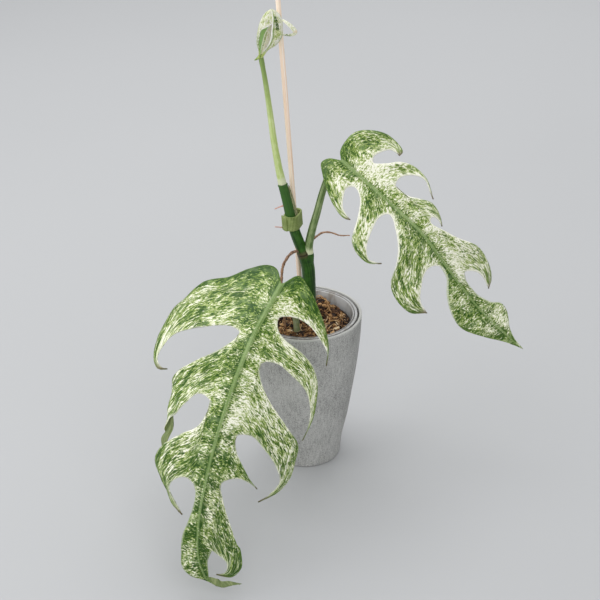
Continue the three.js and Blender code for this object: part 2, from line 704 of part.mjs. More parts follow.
const potGrey = new THREE.MeshStandardMaterial({ color: 0x9b9b98, roughness: 0.85, metalness: 0 });
const clearPlastic = new THREE.MeshStandardMaterial({ color: 0xc9c9c6, roughness: 0.25, metalness: 0 });
const coir = new THREE.MeshStandardMaterial({ color: 0x5a3a24, roughness: 0.95, metalness: 0 });
const stemGreen = new THREE.MeshStandardMaterial({ color: 0x2c4a24, roughness: 0.5, metalness: 0 });
const leafGreen = new THREE.MeshStandardMaterial({ color: 0x7f9c58, roughness: 0.4, metalness: 0 });
const cream = new THREE.MeshStandardMaterial({ color: 0xdfe3c0, roughness: 0.45, metalness: 0 });
const rootBrown = new THREE.MeshStandardMaterial({ color: 0x6b4429, roughness: 0.8, metalness: 0 });
const rootPink = new THREE.MeshStandardMaterial({ color: 0xb98a78, roughness: 0.6, metalness: 0 });
const paleWood = new THREE.MeshStandardMaterial({ color: 0xe6cbb0, roughness: 0.75, metalness: 0 });
const sageBand = new THREE.MeshStandardMaterial({ color: 0x7f9358, roughness: 0.9, metalness: 0 });

const plant = new THREE.Group();

function place(name, body, material) {
  const geometry = body.isBufferGeometry ? body : geometryOf(body);
  const mesh = new THREE.Mesh(geometry, material);
  mesh.name = name;
  plant.add(mesh);
}

place('cachepot', cachepot(), potGrey);
place('nursery_pot', nurseryPot(), clearPlastic);
const rooted = [wideStem, wideStake, petiole('petiole_lower', GAP), root('root_left', GAP)];
place('substrate', substrate(rooted), coir);
place('stem', stem(), stemGreen);
place('stake', stake(), paleWood);
place('tie', tie(wideStem, wideStake), sageBand);

const leafSpaces = {
  petiole_lower: thicken(lowerSurface, HALF_BLADE + GAP, HALF_BLADE + GAP),
  petiole_right: thicken(rightSurface, HALF_BLADE + GAP, HALF_BLADE + GAP),
  petiole_new: newLeaf(GAP),
};
for (const name of Object.keys(PETIOLES)) {
  const color = PETIOLE_GREENS[name];
  const material = new THREE.MeshStandardMaterial({ color, roughness: 0.5, metalness: 0 });
  place(name, trim(petiole(name), wideStem, leafSpaces[name]), material);
}

place('leaf_lower', thicken(lowerSurface, HALF_BLADE, HALF_BLADE), leafGreen);
place('leaf_right', thicken(rightSurface, HALF_BLADE, HALF_BLADE), leafGreen);
place('leaf_new', newLeaf(), cream);

const widePetiole = petiole('petiole_right', GAP);
for (const name of Object.keys(ROOTS)) {
  place(name, trim(root(name), wideStem, widePetiole), name.startsWith('root_bud') ? rootPink : rootBrown);
}

export default plant;
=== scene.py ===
import math
import random
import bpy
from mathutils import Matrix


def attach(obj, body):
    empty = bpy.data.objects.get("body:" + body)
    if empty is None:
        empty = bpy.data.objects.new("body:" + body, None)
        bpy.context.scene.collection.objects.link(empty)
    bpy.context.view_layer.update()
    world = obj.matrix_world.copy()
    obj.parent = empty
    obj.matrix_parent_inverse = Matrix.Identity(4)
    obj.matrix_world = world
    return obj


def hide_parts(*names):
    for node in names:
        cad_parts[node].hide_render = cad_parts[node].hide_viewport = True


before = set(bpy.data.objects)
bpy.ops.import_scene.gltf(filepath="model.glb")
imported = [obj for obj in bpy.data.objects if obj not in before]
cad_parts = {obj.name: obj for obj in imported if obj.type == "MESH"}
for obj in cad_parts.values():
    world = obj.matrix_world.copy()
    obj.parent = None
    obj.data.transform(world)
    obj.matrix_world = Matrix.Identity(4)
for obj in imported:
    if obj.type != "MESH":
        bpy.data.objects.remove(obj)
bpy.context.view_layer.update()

from types import SimpleNamespace

import bmesh
import bpy
import numpy as np
from bpy.props import FloatProperty, FloatVectorProperty, IntProperty, PointerProperty
from mathutils import Euler, Matrix, Vector, noise

bl_info = {
    "name": "Potted variegated aroid",
    "version": (1, 0, 0),
    "blender": (4, 5, 0),
    "location": "3D View > Sidebar > Aroid",
    "description": "A young climbing aroid with lobed, marbled leaves, tied to a stake in its pots",
    "category": "Add Mesh",
}

MM = 0.001
TAU = 2 * math.pi
SMOOTH_ANGLE = math.radians(40)
BEVEL_ANGLE = math.radians(50)

# Camera, as the photo was taken: its place in metres, its pitch in degrees and its sensor in millimetres
CAMERA_PLACE = (-0.0044, -1.1856, 0.8212)
CAMERA_PITCH = 61.2
CAMERA_SENSOR = 36

# Studio, in metres: the floor's flat radius, the width and height of its rising edge, and the screen colour
# of the even light all round
FLOOR_FLAT = 2.2
FLOOR_EDGE = [1.6, 0.75]
AIR = (236, 238, 241)

# Soft lights: each one's place, the point that it looks at and its width, in metres
LIGHTS = {
    "key": ((-0.35, 0.75, 1.9), (0.15, 0.55, 0), 2),
    "fill": ((0.15, -1.5, 1.1), (0, 0, 0.15), 1.4),
    "side": ((-1.5, -0.5, 0.7), (0, 0, 0.15), 1.2),
    "back": ((0.8, 1.8, 1.3), (0.5, 1.1, 0), 1.2),
}

# Pots, in millimetres: [radius, height] from the foot up, the span over which a painted highlight lightens the
# cachepot's rim, and the radii of the dark lines of painted shade where the growing pot's rim is stepped
POT_OUTLINE = [
    [35.8, 1.5], [37.8, 20], [42.8, 45], [47, 73], [50.9, 101], [53.8, 130], [55, 156.5],
]
POT_WALL = 2.5
POT_FLOOR = 5
POT_RIM_HIGHLIGHT = [153.8, 156]
NURSERY_FOOT = [32.5, 5.3]
NURSERY_RIM = [46.9, 155.7]
NURSERY_FLANGE = [51.2, 1.6]
NURSERY_LIP = 2
NURSERY_RIBS = 8
NURSERY_STEPS = [47.8, 50.8]
DRAIN_COUNT = 6
DRAIN_CIRCLE = 20
DRAIN_RADIUS = 3.5
DRAIN_DEPTH = 8

# Substrate, in millimetres, with its mound and each [x, y, radius] that grows or stands in it
SOIL_HEIGHT = 146
SOIL_RADIUS = 44.3
SOIL_FOOT = 7.1
SOIL_MOUND = {"height": 5, "centre": [14, 27], "spread": 260}
STEMS_IN_SOIL = [[5.4, -1, 6.5], [-7.2, -18.4, 3.6], [-18.4, -13, 1.8], [-1.9, 8, 3]]

# Stem, petioles and roots, in millimetres, as the frame has them. A path goes with its radii, and nodes are
# heights on the stem or reaches on the shoulder.
STEM_PATH = [
    [6, -2, 116], [4.9, -0.5, 160], [4.4, 0, 186], [3, 0, 206], [-0.6, 0, 219],
    [-6.3, 0, 233.5], [-11.8, 0, 251], [-15.6, 0, 269], [-20.4, 0, 290],
]
STEM_RADII = [6.2, 5.3, 4.2]
STEM_NODES = [151, 220]
SHOULDER_PATH = [[3.6, -0.1, 196], [3.3, -0.2, 209], [3.9, -0.8, 220.5]]
SHOULDER_RADII = [5.7, 5]
SHOULDER_NODES = [-9, 60]
SHEATH_PATH = [[-7.5, 0.5, 257], [-10.6, 0.5, 270], [-12.9, 0.4, 280], [-14.8, 0.2, 289.5]]
PETIOLES = {
    "petiole_lower": {
        "path": [
            [-6, -14, 122], [-7.3, -18.7, 146], [-8.4, -23, 162], [-13.5, -38, 188],
            [-18.6, -52, 208.5], [-21, -61.5, 217.5],
        ],
        "radii": [3.1, 2.5],
    },
    "petiole_right": {
        "path": [
            [3, 0, 212], [3.8, -0.6, 228], [6.6, -2, 244], [11.2, -4.5, 263.5], [16.8, -7.5, 288],
            [22.5, -8, 305], [31, -10.5, 316.5],
        ],
        "radii": [4.2, 2.6],
    },
    "petiole_new": {
        "path": [
            [-20.5, 0, 290.6], [-23.6, 0, 306], [-27.7, 0, 332], [-31.2, 0, 361], [-35, 0, 390],
            [-38.8, -1.5, 413.5],
        ],
        "radii": [3.5, 1.9],
    },
}
ROOTS = {
    "root_left": {
        "path": [
            [-4, -2, 222.5], [-8.3, -4, 223.6], [-13, -6, 222], [-17.4, -8, 216.8], [-20.4, -9, 210],
            [-21.7, -10.5, 197], [-21, -12, 178], [-19.2, -13, 158], [-18, -13, 136],
        ],
        "radii": [1.4, 1],
    },
    "root_right": {
        "path": [
            [1, 3.5, 222], [5.6, 6.4, 228.6], [11, 6.5, 233.8], [17, 7, 237.6], [24, 7.5, 237.5],
            [33, 6, 235.2], [42.5, 4.5, 235.9],
        ],
        "radii": [1.3, 0.5],
    },
    "root_bud_upper": {"path": [[-14, -0.5, 270], [-21, -1, 268.6], [-28, -2, 266]], "radii": [0.9, 0.4]},
    "root_bud_lower": {
        "path": [[-9, 2, 241], [-16, 4.5, 243.4], [-22.5, 4, 244.6], [-28, 2, 246]],
        "radii": [0.9, 0.4],
    },
}

# Newest leaf: height, middle, half width and half depth of each hoop, and the loop of its lobe
NEW_LEAF_HOOPS = [
    [412.8, -38.4, 1.4, 1], [419.5, -36.2, 4, 3], [425, -33, 8.5, 5.5], [432, -30.6, 10.7, 7],
    [438.5, -29.8, 10.3, 7], [445, -29, 9.3, 6.5], [450.5, -28.6, 6.8, 5], [454, -28.6, 3.2, 2.6],
    [455.4, -28.6, 0.7, 0.6],
]
NEW_LEAF_MIDDLE_Y = -5
NEW_LEAF_MARGINS = [3.75, -1.5]
NEW_LEAF_LOBE = [
    [-19.5, -7, 447], [-15.2, -8.5, 444.4], [-10.6, -8.5, 440], [-8.4, -7.5, 435.8], [-11, -6, 433.4],
    [-15, -5.5, 433], [-20, -5.5, 433.6],
]
SPUR_PATH = [[-37.2, -2.5, 414.5], [-40, -3.5, 412.6], [-42.6, -4, 410.6], [-44.4, -4.2, 410]]

# Stake and tie, in millimetres, with the line of the tie's tail in the band's plane
STAKE = [[7.2, 8, 12], [-26.9, 8, 512]]
STAKE_RADIUS = 2.3
TIE_CENTRE = [-12, 0, 252.5]
TIE_TILT = [-0.07, 0, 1]
TIE_HEIGHT = 14
TIE_THICKNESS = 1.7
TIE_POSTS = [5.5, 5.4]
TIE_TAIL = [[-4.5, -6.5], [-6.8, -4.2], [-8.2, -1.5], [-8.8, 1.2]]
TIE_TAIL_LENGTH = 8
TIE_TAIL_THICKNESS = 1.5

# Big leaves: thickness of the blade, and its keel's depth at foot and tip and half width
BLADE = 0.6
KEEL = [2.3, 0.5]
KEEL_HALF_WIDTH = 2.6

# Mesh of a leaf: rows from the rib to a sinus and on to a tip, and columns to each station of the rib
ROOT_ROWS = 14
FREE_ROWS = 56
FINE = 8
ROOT_SHARES = np.linspace(0, 1, ROOT_ROWS + 1) ** 1.3

# The level at which the marbling turns from green to cream
MIDDLE_LEVEL = 0.488

# Leaves, laid flat: u runs along the rib and v across it, with the right half positive. A half folds down by
# FOLD at the rib and by BEND more for each millimetre, and its surface waves.
STATION = 12
FOLD = 0.14
BEND = 0.006
WAVE = {"height": 1.2, "length": 38, "reach": 40, "slant": 0.4}


def lobe_row(foot, sinus, tip, curl, near, far, twist=()):
    """One lobe: its near margin runs out to the tip and its far margin back to the sinus behind it."""
    return {"foot": foot, "sinus": sinus, "tip": tip, "curl": curl, "near": near, "far": far, "twist": twist}


LOWER_LEAF = {
    "rib": [
        [-21, -62, 220], [-47, -120, 195], [-66, -164, 161], [-81, -197, 120], [-91, -223, 73], [-91, -233, 45],
        [-84, -235, 22],
    ],
    "face": [[0.05, -0.45, 0.9], [0.1, -0.97, 0.1]],
    "rib_end": 288,
    "tail": [[294, 3], [301, 10], [304, 18], [307.5, 27]],
    "tail_twist": [2.8, 0, 0.42],
    "halves": [
        {
            "shoulder": [-16, -12],
            "lobes": [
                lobe_row(
                    60, [64, -13], [110, -65], 10,
                    [[-18, -22], [-9, -39], [1, -54], [8, -80], [30, -92], [58, -94], [98, -86], [112, -74]],
                    [[60, -24], [66, -47], [75, -72], [85, -79], [100, -81], [109, -73]],
                ),
                lobe_row(
                    132, [132, -15], [186.5, -41], 18,
                    [[80, -20], [100, -41], [114, -54.5], [128, -56], [143, -52], [156, -46.5], [169, -45]],
                    [[128, -27], [137.5, -34.5], [149, -40], [161, -39.5], [172, -39.5]],
                    [2.8, 0.5, 0.74],
                ),
                lobe_row(
                    204, [203, -9.5], [231, -14], 8,
                    [
                        [149, -16], [157, -20], [165, -31], [180, -46], [190, -48], [200, -42], [212, -32],
                        [224, -24],
                    ],
                    [[199, -18], [202, -26], [210, -30], [220, -23]],
                ),
            ],
            "end": [
                [210, -6.5], [222, -6.5], [234, -9], [246, -13], [262, -14.5], [271, -16], [280, -12], [288, -6],
                [297.5, -1], [304.5, 5], [307, 14],
            ],
        },
        {
            "shoulder": [-17, 11],
            "lobes": [
                lobe_row(
                    36, [34, 13], [42, 71], 8,
                    [[-12, 21], [0, 37], [12, 52], [26, 65]], [[26, 22], [23, 38], [27, 55], [33, 67]],
                ),
                lobe_row(
                    84, [84, 16.5], [133, 81], 12,
                    [[45, 17], [51, 27], [52, 50], [58, 63], [78, 75], [105, 82]],
                    [[77, 29], [80, 47], [86, 65], [100, 76], [118, 81]],
                ),
                lobe_row(
                    156, [154, 17], [212, 54], 10,
                    [[97, 20], [113, 35], [128, 58], [141, 77], [158, 80.5], [182, 80.5], [200, 71]],
                    [[150, 30], [158, 45], [172, 62], [186, 70], [201, 65]],
                ),
                lobe_row(192, [198, 14.5], [198, 49], 4, [[166, 20], [178, 29], [190, 40]], [[191, 28], [194, 41]]),
                lobe_row(
                    252, [262, 12.5], [287, 10], -2,
                    [[213, 19], [231, 27], [252, 34], [280, 37], [293, 31], [296, 21]],
                    [[273, 19], [284, 21.5], [289, 17]],
                ),
            ],
            "end": [[270, 8], [280, 5], [291, 2.5], [298.5, 8], [303.5, 17]],
        },
    ],
}

RIGHT_LEAF = {
    "rib": [[33, -12, 319], [68, -33, 294], [103, -47, 265], [127, -54, 234], [158, -58, 193], [198, -62, 154]],
    "face": [[0.1, -0.65, 0.75], [0.3, -0.75, 0.55]],
    "rib_end": 240,
    "tail": [[247, 1]],
    "tail_twist": (),
    "halves": [
        {
            "shoulder": [-10, -7],
            "lobes": [
                lobe_row(
                    24, [26, -10.5], [42, -33], 4,
                    [[-12, -14], [-4, -21], [11, -30], [26, -36], [36, -36.5]], [[21, -16], [24, -23], [31, -31]],
                ),
                lobe_row(
                    60, [65, -8], [93, -42], 8,
                    [[36, -15], [46, -29], [56, -48], [68, -53], [81, -51]],
                    [[60, -15], [62, -28], [69, -43], [78, -48]],
                ),
                lobe_row(
                    132, [133, -4.5], [162, -36], 8,
                    [[80, -16], [103, -34], [119, -49], [138, -53], [152, -49]], [[127, -12], [130, -22], [145, -35]],
                ),
            ],
            "end": [[145, -6.5], [158, -16], [175, -23], [189, -24], [210, -15], [228, -6]],
        },
        {
            "shoulder": [-7, 6],
            "lobes": [
                lobe_row(
                    24, [21, 22], [30, 56], 8,
                    [[-11, 18], [-12, 35], [-4, 53], [8, 67], [21, 68], [29, 63]], [[17, 27], [17, 38], [21, 53]],
                ),
                lobe_row(
                    48, [52, 19], [87, 42], 6,
                    [[29, 31], [38, 47], [50, 56], [66, 55], [79, 49]], [[49, 29], [55, 42], [68, 50]],
                ),
                lobe_row(
                    96, [98, 15.5], [108, 25], 4, [[66, 20], [76, 27], [88, 34], [99, 31]], [[95, 20], [100, 25]],
                ),
                lobe_row(
                    144, [154, 12.5], [190, 29], 8,
                    [[114, 24], [128, 32], [150, 47], [164, 50], [178, 45], [187, 38]], [[164, 25], [176, 29]],
                ),
            ],
            "end": [[163, 8.5], [180, 10], [194, 15], [205, 22.5], [214, 21], [224, 9.5], [235, 3]],
        },
    ],
}


def tone(red, green, blue):
    """A linear colour from its screen values, 0 to 255."""
    shares = [value / 255 for value in (red, green, blue)]
    return tuple(((s + 0.055) / 1.055) ** 2.4 if s > 0.04045 else s / 12.92 for s in shares)


def unit(vectors):
    """The vectors at length 1."""
    return vectors / np.linalg.norm(vectors, axis=-1, keepdims=True)


def joined(*parts):
    """Arrays spread over each other and joined along a new last axis."""
    return np.stack(np.broadcast_arrays(*parts), axis=-1)


def bell(distance, width):
    """1 at the middle, falling softly to 0 on both sides."""
    return np.exp(-((distance / width) ** 2))


def ease(values, low, high):
    """0 below low, 1 above high, and a smooth rise between them."""
    share = np.clip((np.asarray(values, float) - low) / (high - low), 0, 1)
    return share * share * (3 - 2 * share)


class Curve:
    """The smooth curve through some points, measured along its length."""

    def __init__(self, points, fineness=64):
        given = np.array(points, float)
        ends = [2 * given[0] - given[1], *given, 2 * given[-1] - given[-2]]
        parts = [given[:1]]
        for a, b, c, d in zip(ends, ends[1:], ends[2:], ends[3:]):
            gaps = [math.sqrt(math.dist(p, q)) for p, q in ((a, b), (b, c), (c, d))]
            k0, k1, k2, k3 = np.cumsum([0, *gaps])
            t = np.linspace(k1, k2, fineness + 1)[1:, None]
            ab = ((k1 - t) * a + (t - k0) * b) / (k1 - k0)
            bc = ((k2 - t) * b + (t - k1) * c) / (k2 - k1)
            cd = ((k3 - t) * c + (t - k2) * d) / (k3 - k2)
            abc = ((k2 - t) * ab + (t - k0) * bc) / (k2 - k0)
            bcd = ((k3 - t) * bc + (t - k1) * cd) / (k3 - k1)
            parts.append(((k2 - t) * abc + (t - k1) * bcd) / (k2 - k1))
        self.points = np.concatenate(parts)
        steps = np.linalg.norm(np.diff(self.points, axis=0), axis=1)
        self.reach = np.concatenate([[0], np.cumsum(steps)])
        self.length = self.reach[-1]
        self.marks = self.reach[::fineness]

    def at(self, reach):
        """The points at some reaches."""
        return np.stack([np.interp(reach, self.reach, axis) for axis in self.points.T], axis=-1)

    def along(self, reach):
        """The curve's directions at some reaches."""
        return unit(self.at(reach + 1) - self.at(reach - 1))


def math_node(operation, swapped=False):
    """A method that adds a Math node to a value and another one."""

    def method(self, other=0):
        first, second = (other, self) if swapped else (self, other)
        return self.finish.node("ShaderNodeMath", {"operation": operation}, {0: first, 1: second})

    return method


class Value:
    """A node's output. Python's operators on it add Math nodes."""

    def __init__(self, finish, socket):
        self.finish = finish
        self.socket = socket

    __add__, __radd__ = math_node("ADD"), math_node("ADD", True)
    __sub__, __rsub__ = math_node("SUBTRACT"), math_node("SUBTRACT", True)
    __mul__, __rmul__ = math_node("MULTIPLY"), math_node("MULTIPLY", True)
    __truediv__ = math_node("DIVIDE")
    __abs__ = math_node("ABSOLUTE")


class Finish:
    """A material whose nodes are made one by one."""

    def __init__(self, name):
        self.material = bpy.data.materials.new(name)
        self.material.use_nodes = True
        self.tree = self.material.node_tree
        self.tree.nodes.clear()

    def node(self, kind, settings=None, inputs=None, output=0):
        """Makes a node with its settings and its inputs, and gives one of its outputs."""
        made = self.tree.nodes.new(kind)
        for name, value in (settings or {}).items():
            if name == "stops":
                ramp = made.color_ramp.elements
                while len(ramp) < len(value):
                    ramp.new(0.5)
                for stop, (place, colour) in zip(ramp, value):
                    stop.position = place
                    stop.color = (*colour, 1)
            else:
                setattr(made, name, value)
        for name, value in (inputs or {}).items():
            if isinstance(value, Value):
                self.tree.links.new(value.socket, made.inputs[name])
            else:
                made.inputs[name].default_value = value
        return Value(self, made.outputs[output]) if made.outputs else None

    def place(self):
        """Where a point of the surface is, in metres."""
        return self.node("ShaderNodeTexCoord", output="Object")

    def map(self):
        """Where a point of the surface is on the mesh's map, in millimetres."""
        return self.node("ShaderNodeUVMap", {"uv_map": "map"})

    def attribute(self, name):
        """A value that the mesh carries at its points."""
        return self.node("ShaderNodeAttribute", {"attribute_name": name}, output="Vector")

    def parts(self, vector):
        """The three numbers of a vector."""
        whole = self.node("ShaderNodeSeparateXYZ", inputs={0: vector})
        return [Value(self, socket) for socket in whole.socket.node.outputs]

    def scaled(self, vector, scale, shift=(0, 0, 0), turn=(0, 0, 0)):
        """The vector turned, stretched and moved."""
        return self.node(
            "ShaderNodeMapping", inputs={"Vector": vector, "Scale": scale, "Location": shift, "Rotation": turn}
        )

    def shifted(self, vector, amount, scale):
        """The vector moved about by a soft noise."""
        cloud = self.node(
            "ShaderNodeTexNoise", inputs={"Vector": vector, "Scale": scale, "Detail": 2}, output="Color"
        )
        centred = self.node("ShaderNodeVectorMath", {"operation": "SUBTRACT"}, {0: cloud, 1: (0.5, 0.5, 0.5)})
        pushed = self.node("ShaderNodeVectorMath", {"operation": "MULTIPLY"}, {0: centred, 1: amount})
        return self.node("ShaderNodeVectorMath", {"operation": "ADD"}, {0: vector, 1: pushed})

    def noise(self, vector, scale, detail=2, roughness=0.5, shift=(0, 0, 0)):
        """Soft noise between 0 and 1. One number scales it evenly, and three stretch it."""
        if isinstance(scale, tuple):
            vector, scale = self.scaled(vector, scale, shift), 1
        inputs = {"Vector": vector, "Scale": scale, "Detail": detail, "Roughness": roughness}
        return self.node("ShaderNodeTexNoise", inputs=inputs)

    def cells(self, vector, scale):
        """Distance to the nearest of many strewn points."""
        return self.node("ShaderNodeTexVoronoi", inputs={"Vector": self.scaled(vector, scale), "Scale": 1})

    def wave(self, value, period):
        """A sine between -1 and 1."""
        return self.node("ShaderNodeMath", {"operation": "SINE"}, {0: value * (TAU / period)})

    def step(self, value, low, high, start=0, end=1):
        """A smooth change from start at low to end at high, which may lie either way."""
        inputs = {"Value": value, "From Min": low, "From Max": high, "To Min": start, "To Max": end}
        return self.node("ShaderNodeMapRange", {"interpolation_type": "SMOOTHSTEP"}, inputs)

    def ramp(self, value, *stops):
        """A colour from stops along a value, each given as its place and its colour."""
        return self.node("ShaderNodeValToRGB", {"stops": stops}, {0: value})

    def mix(self, share, first, second):
        """A share of the way from the first colour to the second."""
        colours = [c if isinstance(c, Value) else (*c, 1) for c in (first, second)]
        return self.node("ShaderNodeMix", {"data_type": "RGBA"}, {0: share, 6: colours[0], 7: colours[1]}, 2)

    def over(self, colour, *layers):
        """The colour with others laid over it, each given as its share and its colour."""
        for share, layer in layers:
            colour = self.mix(share, colour, layer)
        return colour

    def bump(self, height, distance, strength):
        """Relief from a height between 0 and 1, in metres."""
        return self.node("ShaderNodeBump", inputs={"Height": height, "Distance": distance, "Strength": strength})

    def surface(self, **inputs):
        """Ends the material with its surface. Names hold _ for a space."""
        named = {name.replace("_", " "): value for name, value in inputs.items()}
        colour = named["Base Color"]
        if not isinstance(colour, Value):
            named["Base Color"] = (*colour, 1)
        shader = self.node("ShaderNodeBsdfPrincipled", inputs=named)
        self.node("ShaderNodeOutputMaterial", inputs={"Surface": shader})
        return self.material


def weld(mesh, distance=0.005):
    """Joins points that lie on each other and clears collapsed faces."""
    shape = bmesh.new()
    shape.from_mesh(mesh)
    bmesh.ops.remove_doubles(shape, verts=shape.verts, dist=distance * MM)
    bmesh.ops.dissolve_degenerate(shape, edges=shape.edges, dist=distance * MM)
    shape.to_mesh(mesh)
    shape.free()


def grid_piece(name, grids, materials):
    """One object from grids of points in millimetres, each with its map and its point values."""
    points, maps, faces = [], [], []
    values = {key: [] for key in grids[0].get("values", {})}
    for grid in grids:
        rows, columns = grid["points"].shape[:2]
        start = sum(len(part) for part in points)
        index = start + np.arange(rows * columns).reshape(rows, columns)
        corners = [index[:-1, :-1], index[:-1, 1:], index[1:, 1:], index[1:, :-1]]
        if grid.get("flip"):
            corners = [corners[0], corners[3], corners[2], corners[1]]
        faces.append(np.stack(corners, axis=-1).reshape(-1, 4))
        points.append(grid["points"].reshape(-1, 3) * MM)
        maps.append(np.broadcast_to(grid["map"], (rows, columns, 2)).reshape(-1, 2))
        for key in values:
            values[key].append(np.broadcast_to(grid["values"][key], (rows, columns, 3)).reshape(-1, 3))
    quads = np.concatenate(faces)
    mesh = bpy.data.meshes.new(name)
    mesh.from_pydata(np.concatenate(points).tolist(), [], quads.tolist())
    layer = mesh.uv_layers.new(name="map")
    layer.data.foreach_set("uv", np.concatenate(maps)[quads.ravel()].astype(np.float32).ravel())
    for key, parts in values.items():
        attribute = mesh.attributes.new(key, "FLOAT_VECTOR", "POINT")
        attribute.data.foreach_set("vector", np.concatenate(parts).astype(np.float32).ravel())
    weld(mesh)
    mesh.shade_smooth()
    return add_piece(name, mesh, materials)


def add_piece(name, mesh, materials):
    """A new object from a mesh."""
    piece = bpy.data.objects.new(name, mesh)
    bpy.context.scene.collection.objects.link(piece)
    for material in materials:
        mesh.materials.append(material)
    return piece


def select(piece):
    """Makes the piece the only selected one."""
    bpy.ops.object.select_all(action="DESELECT")
    piece.select_set(True)
    bpy.context.view_layer.objects.active = piece


def modify(piece, kind, **settings):
    """Adds a modifier and applies it."""
    select(piece)
    bpy.ops.object.modifier_add(type=kind)
    modifier = piece.modifiers[-1]
    for name, value in settings.items():
        setattr(modifier, name, value)
    bpy.ops.object.modifier_apply(modifier=modifier.name)


def settle(piece, slot, *nodes):
    """Fixes a finished piece to the frame, in place of the nodes that it stands for."""
    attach(piece, "root")
    if nodes:
        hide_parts(*nodes)


def tube(name, path, radius_at, material, sides, spacing):
    """A closed rod along a path. Its radius comes from the reach, the angle and the whole length."""
    curve = Curve(path)
    count = max(6, round(curve.length / spacing))
    reach = np.linspace(0, curve.length, count + 1)
    tangents = curve.along(reach)
    side = np.cross(tangents[0], [0.0, 1.0, 0.0])
    sides_out = []
    for tangent in tangents:
        side = unit(side - tangent * (side @ tangent))
        sides_out.append(side)
    right = np.array(sides_out)[:, None]
    over = np.cross(tangents[:, None], right)
    angle = np.linspace(0, TAU, sides + 1)[None]
    ring = right * np.cos(angle)[..., None] + over * np.sin(angle)[..., None]
    points = curve.at(reach)[:, None] + ring * radius_at(reach[:, None], angle, curve.length)[..., None]
    caps = [points[:1] * 0 + curve.at(end) for end in (0, curve.length)]
    laid = joined(np.array([0, *reach, curve.length])[:, None], angle / TAU)
    return grid_piece(name, [{"points": np.concatenate([caps[0], points, caps[1]]), "map": laid}], [material])


class Blade:
    """Places flat leaf points along the arched rib and down each drooping half."""

    def __init__(self, leaf):
        self.curve = Curve(leaf["rib"])
        self.faces = np.array(leaf["face"], float)

    def at(self, flat):
        """The flat points in space, the way up from the rib there and the surface's own way up."""
        u, v = flat[..., 0], flat[..., 1]
        reach = np.clip(u, 0, self.curve.length)
        along = self.curve.along(reach)
        share = (reach / self.curve.length)[..., None]
        across = unit(np.cross(self.faces[0] * (1 - share) + self.faces[1] * share, along))
        up = np.cross(along, across)
        far = np.abs(v)
        end = FOLD + far * BEND
        out = (np.sin(end) - math.sin(FOLD)) / BEND * np.sign(v)
        wave = np.sin(TAU * (u - WAVE["slant"] * far) / WAVE["length"])
        ripple = WAVE["height"] * wave * np.minimum(1, far / WAVE["reach"]) ** 2
        rise = ripple - (math.cos(FOLD) - np.cos(end)) / BEND
        place = self.curve.at(reach) + along * (u - reach)[..., None]
        place = place + across * out[..., None] + up * rise[..., None]
        normal = up * np.cos(end)[..., None] + across * (np.sign(v) * np.sin(end))[..., None]
        return place, up, normal


def spread(curve, start, stop, shares):
    """Points of a curve at shares of the way between two reaches."""
    return curve.at(start + (stop - start) * shares)


def turned(points, twist, free, centres):
    """Rows turned about the line through their centres, by an angle reached between two shares of the way."""
    if not twist:
        return points
    angle, start, stop = twist
    after = np.concatenate([centres[1:], centres[-1:]])
    before = np.concatenate([centres[:1], centres[:-1]])
    axis = unit(after - before)[:, None]
    turn = (angle * ease(free, start, stop))[:, None, None]
    arm = points - centres[:, None]
    along = axis * np.sum(arm * axis, axis=-1, keepdims=True)
    swung = along + (arm - along) * np.cos(turn) + np.cross(axis, arm) * np.sin(turn)
    return centres[:, None] + swung


def lobe_grid(blade, lobe, start, near, far):
    """One lobe as flat points, with its place in space, its veins' map and how free each row is."""
    columns = round((lobe["foot"] - start) / STATION * FINE)
    share = np.linspace(0, 1, columns + 1)[None, :, None]
    flat = near[:, None] * (1 - share) + far[:, None] * share
    free = np.clip((np.arange(len(near)) - ROOT_ROWS) / FREE_ROWS, 0, 1)
    width = np.linalg.norm(far - near, axis=1)
    narrowing = np.where(free > 0, width / width[ROOT_ROWS], 1)[:, None]
    middle = (start + lobe["foot"]) / 2
    across = middle + (start + share[:, :, 0] * (lobe["foot"] - start) - middle) * narrowing
    steps = np.linalg.norm(np.diff(flat, axis=0), axis=-1)
    along = np.concatenate([np.zeros((1, columns + 1)), np.cumsum(steps, axis=0)])
    place, up, normal = blade.at(flat)
    place = place - up * (lobe["curl"] * free**2)[:, None, None]
    vein = bell(across - middle, 2.2) * ease(along, 3, 16) * (1 - free[:, None])
    place = turned(place, lobe["twist"], free, (place[:, 0] + place[:, -1]) / 2)
    return {
        "flat": flat, "points": place, "normal": normal, "across": across, "along": along,
        "free": free[:, None], "vein": vein,
    }


def end_grid(leaf, blade, half, start, sinus):
    """One half of the end lobe, from the rib and its tail out to the margin."""
    stations = [[u, 0] for u in range(start, leaf["rib_end"] + 1, STATION)] + leaf["tail"]
    count = len(stations) - 1
    turns = np.linspace(0, count, count * FINE + 1)
    line = Curve(stations)
    rib = line.at(np.interp(turns, np.arange(count + 1), line.marks))
    edge = Curve([sinus, *half["end"], stations[-1]])
    margin = spread(edge, 0, edge.length, turns / count)
    share = ROOT_SHARES[None, :, None]
    flat = rib[:, None] * (1 - share) + margin[:, None] * share
    past = start / STATION + turns - leaf["rib_end"] / STATION
    free = np.clip(past / len(leaf["tail"]), 0, 1)
    along = np.linalg.norm(margin - rib, axis=1)[:, None] * ROOT_SHARES[None]
    across = np.broadcast_to((start + turns * STATION)[:, None], along.shape)
    place, _, normal = blade.at(flat)
    return {
        "flat": flat, "points": turned(place, leaf["tail_twist"], free, place[:, 0].copy()), "normal": normal,
        "across": across, "along": along, "free": free[:, None], "vein": np.zeros_like(along),
    }


def nearest(flat, line, bias):
    """Distance from each flat point to a line of points, with each one's bias added."""
    found = np.full(flat.shape[:-1], 1e3)
    for point, extra in zip(line, bias):
        np.minimum(found, np.hypot(flat[..., 0] - point[0], flat[..., 1] - point[1]) + extra, out=found)
    return found


